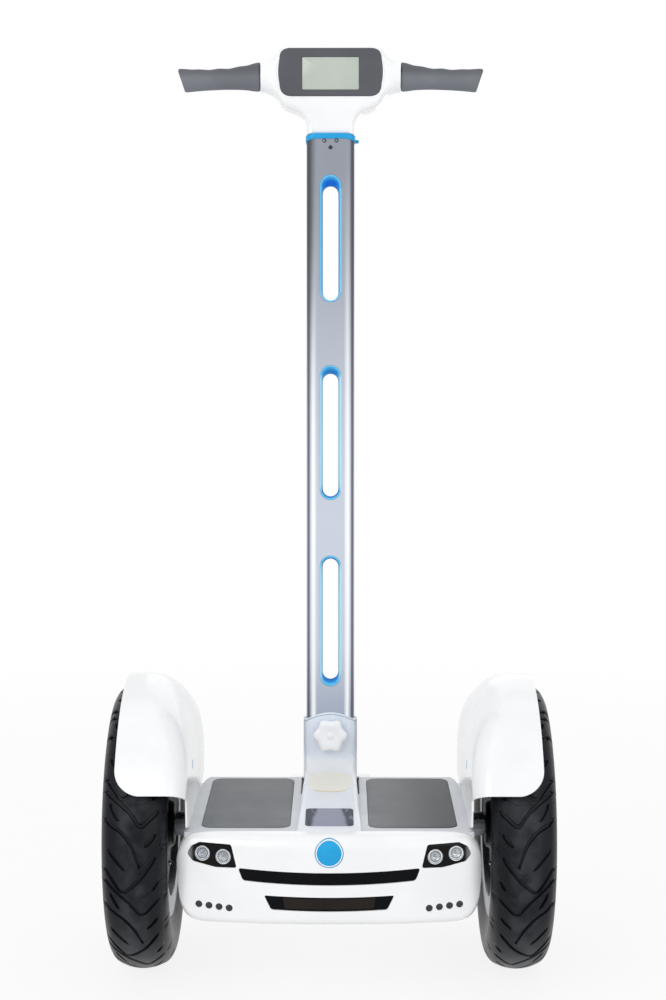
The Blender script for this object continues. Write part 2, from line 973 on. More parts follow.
@dataclass(frozen=True)
class SmokedPane(Finish):
    """Smoked plastic with soft pale reflections in its middle and dark corners."""

    def paint(self, tree: Tree, colour: Signal) -> Signal:
        """Adds the soft shapes that the dark room behind the pane shows.

        Args:
            tree: The material's nodes.
            colour: The dark plastic.

        Returns:
            The plastic with its reflections.
        """
        wave = tree.noise(40.0, 2.0, (1.0, 0.3, 1.0)) * 0.010
        near = 0.0205 - (tree.y + 0.1806) * 0.1 + wave
        middle = 1.0 - (tree.x.size() - near).ramp(-0.003, 0.004)
        streak = tree.noise(110.0, 3.0, (1.0, 0.25, 1.0)).ramp(0.5, 0.62)
        return colour.towards((middle * 0.9).math("MAXIMUM", streak * 0.5), (150, 154, 174))


@dataclass(frozen=True)
class ShadedMat(Finish):
    """Foot mat rubber that darkens towards the column and towards the right wheel."""

    def paint(self, tree: Tree, colour: Signal) -> Signal:
        """Adds the soft changes of shade along and across the mats."""
        colour = colour.towards(tree.y.ramp(-0.17, 0.10) * 0.35, (104, 107, 110))
        return colour.towards(tree.x.ramp(0.055, 0.17) * 0.95, (70, 72, 73))


class Finishes:
    """Every finish of the scooter."""

    body = Finish("white_body", "gloss white shell", (250, 251, 252), (246, 247, 249),
                  (0.16, 0.24), relief=0.004, coat=0.35, wear=0.12)
    tunnel = Finish("white_body", "soft white shell", (236, 240, 246), (230, 234, 241),
                    (0.3, 0.4), relief=0.004, coat=0.15, wear=0.12)
    sleeve = SleeveShell("white_body", "cool white sleeve", (236, 245, 255), (229, 238, 250),
                         (0.24, 0.34), relief=0.004, coat=0.2, wear=0.12)
    cream = Finish("white_body", "cream inlay", (242, 241, 233), (238, 235, 224), relief=0.006)
    amber = Finish("white_body", "amber line", (222, 196, 120), (208, 180, 104), (0.35, 0.45),
                   relief=0.006)
    deck = Finish("deck", "pale grey deck", (211, 214, 218), (204, 207, 212), (0.42, 0.52),
                  relief=0.02)
    mat = ShadedMat("foot_mat", "grey mat rubber", (114, 117, 120), (104, 107, 110), (0.6, 0.75),
                    Grain.PEBBLED, 0.9, 0.10, sheen=0.1)
    tyre = DustyRubber("tyre", "tyre rubber", (20, 23, 29), (13, 15, 20), (0.28, 0.42),
                       Grain.CAST, 0.5, 0.03, specular=0.16)
    rim = Finish("rim", "cast rim", (168, 171, 176), (150, 153, 158), (0.32, 0.48), Grain.CAST,
                 0.5, 0.03, metallic=1.0)
    motor = Finish("motor_cover", "black motor cover", (30, 31, 35), (24, 25, 28), (0.38, 0.5),
                   Grain.CAST, 0.5, 0.03)
    cap = Finish("hub_cap", "hub cap plastic", (34, 36, 40), (28, 30, 33), (0.25, 0.36),
                 relief=0.006)
    winding = Finish("winding", "copper winding", (164, 98, 56), (128, 72, 40), (0.35, 0.5),
                     Grain.RIBBED, 0.4, 0.2, metallic=1.0)
    steel = Finish("steel", "turned steel", (150, 153, 158), (132, 135, 140), (0.22, 0.36),
                   Grain.BRUSHED, 0.15, 0.006, metallic=1.0, brush=(14.0, 1.0, 1.0))
    dark_steel = Finish("steel", "dark screw steel", (78, 80, 84), (60, 62, 66), (0.3, 0.42),
                        relief=0.006, metallic=0.8)
    inner_frame = Finish("frame", "painted frame", (64, 66, 71), (54, 56, 61), (0.5, 0.62),
                         Grain.CAST, 0.8, 0.05)
    switch = Finish("switch", "switch plastic", (32, 33, 36), (27, 28, 31), (0.4, 0.5))
    battery = Finish("battery", "battery wrap", (47, 78, 128), (38, 66, 110), (0.35, 0.5),
                     relief=0.03)
    circuit = Finish("circuit", "circuit board", (32, 94, 60), (24, 74, 48), (0.35, 0.5),
                     Grain.RIBBED, 0.5, 0.05)
    housing = HousingGloss("lamp_housing", "black lamp housing", (10, 11, 14), (7, 8, 10),
                           (0.1, 0.18), relief=0.003, wear=0.1, specular=0.14)
    chrome = LampChrome("lamp_lens", "lamp reflector", (244, 246, 248), (226, 229, 233),
                        (0.14, 0.26), relief=0.002, metallic=1.0, wear=0.05)
    lens = Finish("lamp_lens", "lamp glass", (238, 241, 243), (230, 234, 238), (0.02, 0.05),
                  relief=0.002, wear=0.0, see_through=0.95)
    glow = Finish("lamp_lens", "lamp die", (226, 227, 228), (212, 213, 214), (0.25, 0.35))
    sensor = Finish("sensor", "sensor face", (40, 41, 45), (32, 33, 36), (0.25, 0.35),
                    relief=0.006)
    grille = Finish("grille", "dark grille", (9, 10, 16), (6, 7, 11), (0.3, 0.42), relief=0.008,
                    specular=0.08)
    grille_panel = Finish("grille", "grille panel", (34, 29, 27), (28, 24, 22), (0.4, 0.52),
                          Grain.PEBBLED, 0.5, 0.03, specular=0.15)
    blue = Finish("blue_trim", "blue trim", (26, 168, 228), (20, 158, 220), relief=0.006,
                  specular=0.35)
    slot_wall = SlotMoulding("blue_trim", "blue slot wall", (190, 248, 255), (180, 240, 252),
                             (0.6, 0.7), specular=0.05)
    slot_lip = SlotMoulding("blue_trim", "blue slot lip", (178, 232, 255), (168, 226, 250),
                            relief=0.006, specular=0.3)
    smoke = SmokedPane("smoked_window", "smoked window", (62, 66, 76), (46, 49, 57), (0.1, 0.16),
                       relief=0.003, wear=0.08, specular=0.12)
    bush = Finish("bush", "bush rubber", (32, 32, 33), (26, 26, 27), (0.7, 0.85), Grain.PEBBLED,
                  0.7, 0.06)
    knob = Finish("knob", "white knob", (251, 252, 255), (248, 249, 253), (0.26, 0.34),
                  relief=0.006, coat=0.2, wear=0.1)
    column = AnodisedColumn("column", "anodised column", (147, 152, 163), (142, 147, 158),
                            (0.36, 0.46), Grain.BRUSHED, 0.12, 0.004, metallic=0.3,
                            brush=(1.0, 1.0, 30.0), specular=0.35)
    bezel = Finish("bezel", "display bezel", (80, 82, 89), (74, 76, 82))
    glass = Finish("screen", "display glass", (190, 198, 188), (180, 190, 180), (0.08, 0.16),
                   relief=0.002, coat=0.4, wear=0.1)
    grip = GripRubber("grip", "grip rubber", (122, 125, 132), (112, 115, 122), (0.58, 0.72),
                      Grain.PEBBLED, 0.6, 0.08, specular=0.3)


class Assembly:
    """A group of pieces that are built and dressed together."""

    def build(self) -> None:
        """Builds and dresses every piece of the group."""
        raise NotImplementedError


@dataclass(frozen=True)
class Groove:
    """One groove of the tread's repeat.

    Args:
        path: Degrees down the tyre at shares across the tread, from its outer edge inwards.
        spans: The shares across between which it is cut.
    """

    path: tuple[Flat, ...]
    spans: tuple[Flat, ...]

    def half_width(self, share: float, full: float, run: float) -> float:
        """Half its width along the tyre at a share across, or 0 where it isn't cut.

        Args:
            share: The share across the tread.
            full: Half its width square to its own path.
            run: Millimetres down the tyre for one degree, over the tread's width.

        Returns:
            The half width in millimetres.
        """
        near = max(min(share - start, end - share, 0.05) / 0.05 for start, end in self.spans)
        if near <= 0:
            return 0.0
        rise = read_table(self.path, share + 0.01) - read_table(self.path, share - 0.01)
        round_end = math.sqrt(max(0.0, 1 - (1 - near) ** 2))
        return full * round_end * min(2.6, math.sqrt(1 + (rise / 0.02 * run) ** 2))


@dataclass
class Tyre(Assembly):
    """A pneumatic tyre with slashed tread grooves and small marks on its shoulders."""

    side: Side
    repeats: int = 10
    first: float = 11.5
    radius: float = 215.0
    middle: float = 278.0
    tread_half: float = 38.5
    groove_half: float = 2.3
    groove_lip: float = 1.2
    groove_depth: float = 3.4
    mark_radii: Flat = (186.0, 196.5)
    mark_reach: float = 40.0
    mark_half: float = 1.4
    mark_depth: float = 0.9
    row_step: float = 2.1
    grooves: tuple[Groove, ...] = (
        Groove(((0.0, -8.28), (0.04, -7.2), (0.2, -2.34), (0.26, -0.63), (0.31, 0), (0.36, -0.27),
                (0.45, -1.71), (0.67, -6.12), (0.9, -12.51), (1.0, -14.58)), ((-0.05, 0.93),)),
        Groove(((0.0, -5.85), (0.2, -0.85), (0.31, 1.35), (0.66, 2.16), (0.86, -0.36),
                (0.95, -2.52), (1.0, -3.78)), ((0.85, 0.97),)),
        Groove(((0.0, -3.42), (0.08, -1.71), (0.42, 4.5), (0.53, 7.2), (0.61, 9.72), (0.66, 10.26),
                (0.71, 9.81), (0.8, 8.01), (0.97, 4.59), (1.0, 4.14)), ((-0.05, 0.98),)),
        Groove(((0.0, 0.45), (0.07, 1.8), (0.23, 7.38), (0.35, 9), (0.5, 12.24), (0.66, 16.92),
                (0.73, 17.82), (0.92, 13.95), (1.0, 12.24)), ((0.06, 0.25), (0.72, 0.93))),
        Groove(((0.0, 7.56), (0.07, 9.36), (0.29, 12.33), (0.45, 16.2), (0.56, 20.7), (0.63, 25.74),
                (0.66, 25.74), (0.73, 24.03), (0.9, 19.35), (1.0, 17.46)), ((-0.05, 0.64),)),
        Groove(((0.0, 17.82), (0.05, 19.53), (0.34, 26.46), (0.45, 27.9), (0.56, 28.62),
                (0.63, 28.35), (0.73, 26.19), (0.9, 21.51), (1.0, 19.62)), ((0.04, 0.36),)),
    )
    half_profile: tuple[Flat, ...] = (
        (34.0, 127.5), (35.0, 129.5), (35.6, 138.0), (38.6, 143.0), (39.4, 145.0), (39.6, 148.0),
        (41.0, 150.5), (44.2, 160.0), (46.4, 169.0), (46.9, 177.0), (46.2, 184.0), (44.6, 190.5),
        (42.0, 196.0), (38.5, 201.2), (34.5, 204.7), (30.0, 207.1), (25.0, 209.3), (20.0, 211.2),
        (15.0, 212.5), (10.0, 213.4), (5.0, 213.95), (0.0, 214.13),
    )
    inside: tuple[Flat, ...] = (
        (-24.5, 127.5), (-26.0, 150.0), (-34.5, 175.0), (-28.0, 190.0), (0.0, 199.0),
        (28.0, 190.0), (34.5, 175.0), (26.0, 150.0), (24.5, 127.5),
    )

    def rows(self) -> list[tuple[Vector, Vector]]:
        """Evenly spaced points of the outside from bead to bead.

        Returns:
            Each point (across, radius) with its outward direction.
        """
        half = smooth_path(self.half_profile, 8)
        whole = [Vector(p) for p in half] + [Vector((-x, r)) for x, r in reversed(half[:-1])]
        even = [whole[0]]
        for point in whole[1:]:
            if (point - even[-1]).length >= self.row_step:
                even.append(point)
        even[-1] = whole[-1]
        result = []
        for i, point in enumerate(even):
            along = even[min(i + 1, len(even) - 1)] - even[max(i - 1, 0)]
            result.append((point, Vector((along.y, -along.x)).normalized()))
        return result

    def cuts(self, point: Vector) -> list[tuple[float, float, float, float]]:
        """What is cut from one ring of the tread.

        Args:
            point: The ring's (across, radius).

        Returns:
            Middle along the tyre, half width, depth and lip of each cut.
        """
        share = (1 - point.x / self.tread_half) / 2
        degree = self.radius * TURN / 360
        low, high = self.mark_radii
        marked = low < point.y < high and abs(point.x) > self.mark_reach
        result = []
        for turn in range(self.repeats):
            for order, groove in enumerate(self.grooves):
                angle = self.first + turn * 360 / self.repeats + read_table(groove.path, share)
                half = groove.half_width(share, self.groove_half, degree / (2 * self.tread_half))
                depth = self.groove_depth if half > 0.4 else 0.0
                if marked and order % 2 == 0:
                    half, depth = self.mark_half, self.mark_depth
                lip = self.groove_lip if depth else 0.1
                result.append((degree * angle, max(half, 0.2), depth, lip))
        return result

    def ring(self, point: Vector, out: Vector) -> list[Vector]:
        """One ring of the tread, with the grooves cut in.

        Args:
            point: The ring's (across, radius) before grooves.
            out: The direction away from the tyre there.

        Returns:
            The ring's points in the chassis frame.
        """
        cuts = self.cuts(point)
        result = []
        for i, (centre, half, depth, lip) in enumerate(cuts):
            after = cuts[(i + 1) % len(cuts)]
            lap = TURN * self.radius if i + 1 == len(cuts) else 0.0
            start, end = centre + half + lip, after[0] + lap - after[1] - after[3]
            steps = [(centre - half - lip, 0.0), (centre - half + 0.1, 0.5),
                     (centre - half + 0.5, 1.0), (centre + half - 0.5, 1.0),
                     (centre + half - 0.1, 0.5), (start, 0.0)]
            steps += [(mix(start, end, k / 4), 0.0) for k in (1, 2, 3)]
            for run, share in steps:
                spot = point - out * (depth * share)
                angle = -run / self.radius
                result.append(Vector((self.middle + spot.x, -spot.y * math.cos(angle),
                                      AXLE_HEIGHT + spot.y * math.sin(angle))))
        return result

    def build(self) -> None:
        """Builds the tyre as one skin round its whole section."""
        word = self.side.word
        rings = [self.ring(point, out) for point, out in reversed(self.rows())]
        rings += [self.ring(Vector(p), Vector((0.0, 0.0))) for p in reversed(self.inside)]
        tyre = Piece(f"{word}_tyre_tread", looped(rings), self.side.of(CHASSIS), 50.0)
        tyre.dress(Finishes.tyre, f"wheel_{word}", f"tyre_{word}")


@dataclass
class Wheel(Assembly):
    """Rim, motor cover, hub cap and their bolts, by their (across, radius) profiles."""

    side: Side
    middle: float = 278.0
    bolts: int = 8
    rib: tuple[Flat, Flat, Flat] = ((70.0, 106.0), (-2.6, 2.6), (26.5, 31.2))
    rim: tuple[Flat, ...] = (
        (-39.3, 139.0), (-35.3, 139.0), (-35.3, 127.0), (-20.0, 118.0), (20.0, 118.0),
        (35.3, 127.0), (35.3, 139.0), (39.3, 139.0), (39.3, 123.0), (33.0, 112.0), (28.0, 104.0),
        (28.0, 72.0), (30.0, 66.0), (30.0, 12.5), (24.0, 12.5), (24.0, 96.0), (12.0, 108.0),
        (-39.3, 108.0),
    )
    cover: tuple[Flat, ...] = (
        (-42.8, 12.5), (-42.8, 30.0), (-40.8, 34.0), (-34.3, 38.0), (-31.5, 52.0), (-30.3, 56.0),
        (-30.3, 96.0), (-29.0, 100.0), (-29.0, 107.0), (-24.3, 107.0), (-24.3, 12.5),
    )
    cap: tuple[Flat, ...] = (
        (39.3, 0.01), (39.3, 22.0), (38.5, 24.0), (39.3, 26.0), (38.9, 30.0), (36.0, 52.0),
        (34.8, 60.0), (30.3, 60.0), (30.3, 48.0), (35.3, 30.0), (35.3, 0.01),
    )
    cap_radii: tuple[float, ...] = (0, 0.8, 0.5, 0.8, 4, 4, 1.5, 0.5, 1, 1, 0)
    bolt_head: tuple[Flat, ...] = (
        (0.0, 0.01), (0.0, 1.0), (0.45, 1.0), (0.75, 0.8), (0.85, 0.5), (0.4, 0.45), (0.4, 0.01),
    )

    def spun(self, profile: Iterable[Flat], radii: float | Sequence[float]) -> Form:
        """A turned form about the axle, with its profile's corners rounded."""
        rounded = round_corners([(x + self.middle, r) for x, r in profile], radii, 4)
        return turned(rounded, 96, Axis.X, (0.0, AXLE_HEIGHT))

    def bolt_circle(self, radius: float, at: float, out: int, size: float) -> Form:
        """Button head bolts with a socket, on a circle about the axle.

        Args:
            radius: The circle's radius.
            at: Where the bolts' seats are across the wheel.
            out: 1 where they face outwards, -1 inwards.
            size: The radius of a head.

        Returns:
            The form.
        """
        form = Form()
        for i in range(self.bolts):
            angle = TURN * (i + 0.5) / self.bolts
            middle = (radius * math.cos(angle), AXLE_HEIGHT + radius * math.sin(angle))
            profile = [(self.middle + at + out * x * size, r * size) for x, r in self.bolt_head]
            profile[0] = (profile[0][0], 0.01)
            profile[-1] = (profile[-1][0], 0.01)
            form.add(turned(profile, 12, Axis.X, middle))
        return form

    def build(self) -> None:
        """Builds the ribbed rim, the covers and the bolts."""
        word, place = self.side.word, self.side.of(CHASSIS)
        body = f"wheel_{word}"
        tall, wide, span = self.rib
        ribs = Form()
        for i in range(self.bolts * 2):
            angle = TURN * i / (self.bolts * 2)
            line = [(u * math.cos(angle) - v * math.sin(angle),
                     AXLE_HEIGHT + u * math.sin(angle) + v * math.cos(angle))
                    for u, v in rectangle(tall, wide, 2.4)]
            ribs.add(plate(line, (self.middle + span[0], self.middle + span[1]), Axis.X, 0.8))
        rim = Piece(f"{word}_rim_casting", self.spun(self.rim, 2.0), place)
        rim.cut(ribs, way=Cut.JOIN).dress(Finishes.rim, body, f"rim_{word}")
        cover = Piece(f"{word}_motor_cover_casting", self.spun(self.cover, 1.5), place)
        cover.dress(Finishes.motor, body, f"motor_cover_{word}")
        cap = Piece(f"{word}_hub_cap_cover", self.spun(self.cap, self.cap_radii), place)
        cap.dress(Finishes.cap, body, f"hub_cap_{word}")
        bolts = self.bolt_circle(88.0, 28.0, 1, 4.6).add(self.bolt_circle(76.0, -30.3, -1, 4.0))
        Piece(f"{word}_wheel_bolts", bolts, place).dress(Finishes.steel, body)


@dataclass
class Fender(Assembly):
    """The wrap over a tyre, with its inner wall down to the deck."""

    side: Side
    radius: float = 228.0
    outer: float = 304.0
    inner: float = 203.0
    outer_drop: float = 1.5
    corner_width: Flat = (72.0, 28.0)
    corner_drop: Flat = (108.0, 36.0)
    wall: float = 2.5
    spread: float = 65.0
    skirt: float = 76.5
    corner: float = 38.0
    steps: int = 72

    def inner_corner(self, degrees: float) -> Flat:
        """The width and drop of the inner corner: wide over the wheel, tight at the ends."""
        share = eased(0.0, self.spread, abs(degrees))
        return (mix(*self.corner_width, share), mix(*self.corner_drop, share))

    def profile(self, stretch: float, drop: float, degrees: float) -> Flat:
        """A point of the skin's section.

        Args:
            stretch: How far along: crown to 1, corner to 2, inner wall to 3.
            drop: How far under the outside.
            degrees: The section's angle about the axle.

        Returns:
            The place across and the radius.
        """
        width, fall = self.inner_corner(degrees)
        crown, foot = self.inner + width, self.radius - fall
        if stretch < 1:
            share = 1 - stretch
            low = self.radius - drop - self.outer_drop * share * share
            return (mix(crown, self.outer, share), low)
        if stretch < 2:
            angle = (2 - stretch) * QUARTER
            across = crown - (width - drop) * math.cos(angle)
            return (across, foot + (fall - drop) * math.sin(angle))
        return (self.inner + drop, foot * (3 - stretch))

    def foot_stretch(self, radius: float, drop: float, degrees: float) -> float:
        """The stretch at which the inner wall reaches a radius.

        Args:
            radius: The radius to reach.
            drop: How far under the outside.
            degrees: The section's angle about the axle.

        Returns:
            The stretch.
        """
        fall = self.inner_corner(degrees)[1]
        foot = self.radius - fall
        if radius < foot:
            return 3 - radius / foot
        return 2 - math.asin(min(1.0, (radius - foot) / (fall - drop))) / QUARTER

    def ring(self, degrees: float) -> list[Vector]:
        """The section at an angle about the axle, out and back inside.

        Args:
            degrees: The angle.

        Returns:
            The section's points in the chassis frame.
        """
        up, along = math.cos(math.radians(degrees)), math.sin(math.radians(degrees))
        section: Outline = []
        for drop in (0.0, self.wall):
            end = self.foot_stretch((DECK_TOP + 0.3 - AXLE_HEIGHT) / up, drop, degrees)
            line = [self.profile(end * k / 40, drop, degrees) for k in range(41)]
            section += line if drop == 0 else line[::-1]
        return [Vector((x, r * along, AXLE_HEIGHT + r * up)) for x, r in section]

    def trims(self) -> list[Form]:
        """What is cut from the sweep.

        Returns:
            For each end the space below the wrap, and what lies outside its round corner.
        """
        end, size = math.radians(self.spread), self.corner
        half = size / self.radius / 2
        reach = self.radius * math.tan(half)
        edge = self.outer - size
        outline = [(edge, reach + 8.0)] + arc(size, QUARTER, -QUARTER, 14, (edge, reach - size))
        outline += [(self.outer + 8.0, reach - size), (self.outer + 8.0, reach + 8.0)]
        block = plate(outline, (207.0, 236.0), Axis.Z).moved(
            Matrix.Translation((0, 0, AXLE_HEIGHT)) @ Matrix.Rotation(half - end, 4, "X"))
        forms = []
        for way in (1, -1):
            corners = [(way * r * math.sin(end), AXLE_HEIGHT + r * math.cos(end))
                       for r in (self.radius - self.corner_drop[1], 260.0)]
            corners += [(way * 262.0, 240.5), (way * 166.0, 240.5)]
            forms.append(plate(round_corners(corners, [3.0, 0, 0, 0]), (0.0, 312.0), Axis.X))
            forms.append(block.moved(Matrix.Scale(way, 4, Vector((0, 1, 0)))))
        return forms

    def build(self) -> None:
        """Builds the fender and the blue slit of its inner wall."""
        word, place = self.side.word, self.side.of(CHASSIS)
        turns = [mix(-self.skirt, self.skirt, i / self.steps) for i in range(self.steps + 1)]
        shell = Piece(f"{word}_fender_shell", skin([self.ring(turn) for turn in turns]), place)
        shell.cut(*self.trims()).soften(0.9, 2, 40.0)
        shell.dress(Finishes.body, "chassis", f"fender_{word}")
        slit = plate(capsule(1.8, 13.0, 322.0), (self.inner - 0.35, self.inner + 0.8), Axis.X, 0.3)
        slit = slit.moved(Matrix.Translation((0.0, -62.0, 0.0)))
        Piece(f"{word}_fender_slit", slit, place).dress(Finishes.blue, "chassis")


@dataclass(frozen=True)
class Cover:
    """A cover that is swept across X, with rounded upper and lower edges.

    Args:
        half: Half its width.
        top: The height of its top edge.
        joint: Where it meets the chassis along Y.
        depth: How far it stands from the joint at its ends.
        bulge: How much further its middle stands.
        top_round: The radius of its upper edge.
        bottom_round: The radius of its lower edge.
        top_fall: How far its top falls towards its face.
        bottom: The height of its lowest edge.
        tops: The upper edge's share of the height at shares across.
        bottoms: The lower edge's share of the height at shares across.
        shares: Where it has sections, as shares across.
    """

    half: float
    top: float
    joint: float
    depth: float
    bulge: float
    top_round: float
    bottom_round: float
    top_fall: float = 0.0
    bottom: float = 119.0
    tops: tuple[Flat, ...] = (
        (0, 1), (0.5, 1), (0.72, 1), (0.86, 0.997), (0.92, 0.965), (0.96, 0.895), (0.985, 0.81),
        (1, 0.7),
    )
    bottoms: tuple[Flat, ...] = (
        (0, 0.012), (0.25, 0.01), (0.5, 0.004), (0.72, 0), (0.86, 0.004), (0.92, 0.045),
        (0.96, 0.12), (0.985, 0.26), (1, 0.56),
    )
    shares: tuple[float, ...] = (
        0.0, 0.06, 0.12, 0.18, 0.24, 0.3, 0.36, 0.42, 0.48, 0.54, 0.6, 0.66, 0.71, 0.76, 0.8,
        0.84, 0.87, 0.89, 0.905, 0.92, 0.935, 0.95, 0.962, 0.973, 0.982, 0.99, 0.995, 1.0,
    )

    @property
    def way(self) -> int:
        """1 where it stands in front of its joint, -1 where behind."""
        return 1 if self.joint > 0 else -1

    def edges(self, share: float) -> Flat:
        """The heights of its lower and upper edge at a share across."""
        low, high = (read_table(table, min(1.0, share)) for table in (self.bottoms, self.tops))
        return (mix(self.bottom, self.top, low), mix(self.bottom, self.top, high))

    def reach(self, x: float) -> float:
        """How far the face stands from the joint.

        Args:
            x: The place across.

        Returns:
            The distance along Y.
        """
        share = min(1.0, abs(x) / self.half)
        corner = max(0.0, (share - 0.9) / 0.1)
        return self.depth * math.sqrt(1 - corner * corner * 0.8) + self.bulge * (1 - share * share)

    def face(self, x: float, z: float) -> float:
        """Where the face is along Y.

        Args:
            x: The place across.
            z: The height.

        Returns:
            The place along Y.
        """
        low, high = self.edges(abs(x) / self.half)
        over, radius = z - high + self.top_round, self.top_round
        if over <= 0:
            over, radius = low + self.bottom_round - z, self.bottom_round
        share = min(1.0, max(0.0, over / radius))
        depth, back = self.reach(x), radius * (1 - math.sqrt(1 - share ** 2))
        return self.joint + self.way * (depth - min(back, depth))

    def ring(self, x: float, drop: float, behind: float) -> list[Vector]:
        """The section at a place across.

        Args:
            x: The place across.
            drop: How far it is taken in.
            behind: How far it runs behind the joint.

        Returns:
            The section's points.
        """
        low, high = self.edges(abs(x) / (self.half - drop))
        low, high = low + drop, high - drop
        depth = self.reach(x * self.half / (self.half - drop)) - drop
        fall = self.top_fall * min(1.0, depth / (self.depth + self.bulge))
        room = 0.9 * min((high - fall - low) / 2, depth)
        lower, upper = min(self.bottom_round - drop, room), min(self.top_round - drop, room)
        start = self.joint - self.way * behind
        line = [(start, low)]
        for radius, height, angle in (
                (lower, low + lower, -QUARTER), (upper, high - fall - upper, 0.0)):
            line += [(self.joint + self.way * (depth - radius + u), v)
                     for u, v in arc(radius, angle, QUARTER, 8, (0.0, height))]
        return Axis.X.ring(line + [(start, high)], x)

    def body(self, drop: float = 0.0, behind: float = 0.0) -> Form:
        """The cover as a closed solid, taken in by a drop and run behind its joint."""
        places = [-s for s in reversed(self.shares[1:])] + list(self.shares)
        return skin([self.ring((self.half - drop) * s, drop, behind) for s in places])

    def through(self, outline: Outline) -> Form:
        """A cutter with an outline that passes through the face."""
        ends = sorted(self.joint + self.way * reach for reach in (7.0, 90.0))
        return plate(outline, (ends[0], ends[1]), Axis.Y)


FASCIA = Cover(219.5, 250.0, -156.3, 14.0, 30.0, 20.0, 12.0)
NOSE = Cover(204.0, 247.0, 152.3, 18.0, 36.0, 16.0, 20.0, 16.0)


@dataclass(frozen=True)
class Band:
    """A dark band that smiles a little, with slanted ends and round lower corners.

    Args:
        name: Its name.
        half: Half its width along the top.
        taper: How much less its lower edge reaches to each side.
        height: Its height.
        top: The height of its upper edge in the middle.
        rise: How far its ends stand above its middle.
        corner: The radius of its lower corners.
    """

    name: str
    half: float
    taper: float
    height: float
    top: float
    rise: float
    corner: float

    def outline(self, gap: float = 0.0) -> Outline:
        """Its outline, grown by a gap.

        Args:
            gap: The gap.

        Returns:
            The outline.
        """
        count = 24
        across = [2 * i / count - 1 for i in range(count + 1)]
        low, high = self.top - self.height - gap, self.top + gap
        lower = [(u * (self.half - self.taper + gap), low + self.rise * u * u) for u in across]
        upper = [(u * (self.half + gap), high + self.rise * u * u) for u in across]
        radii = [0.0] * (2 * count + 2)
        radii[0] = radii[count] = self.corner + gap
        radii[count + 1] = radii[-1] = (self.corner + gap) / 2
        return round_corners(lower + upper[::-1], radii)


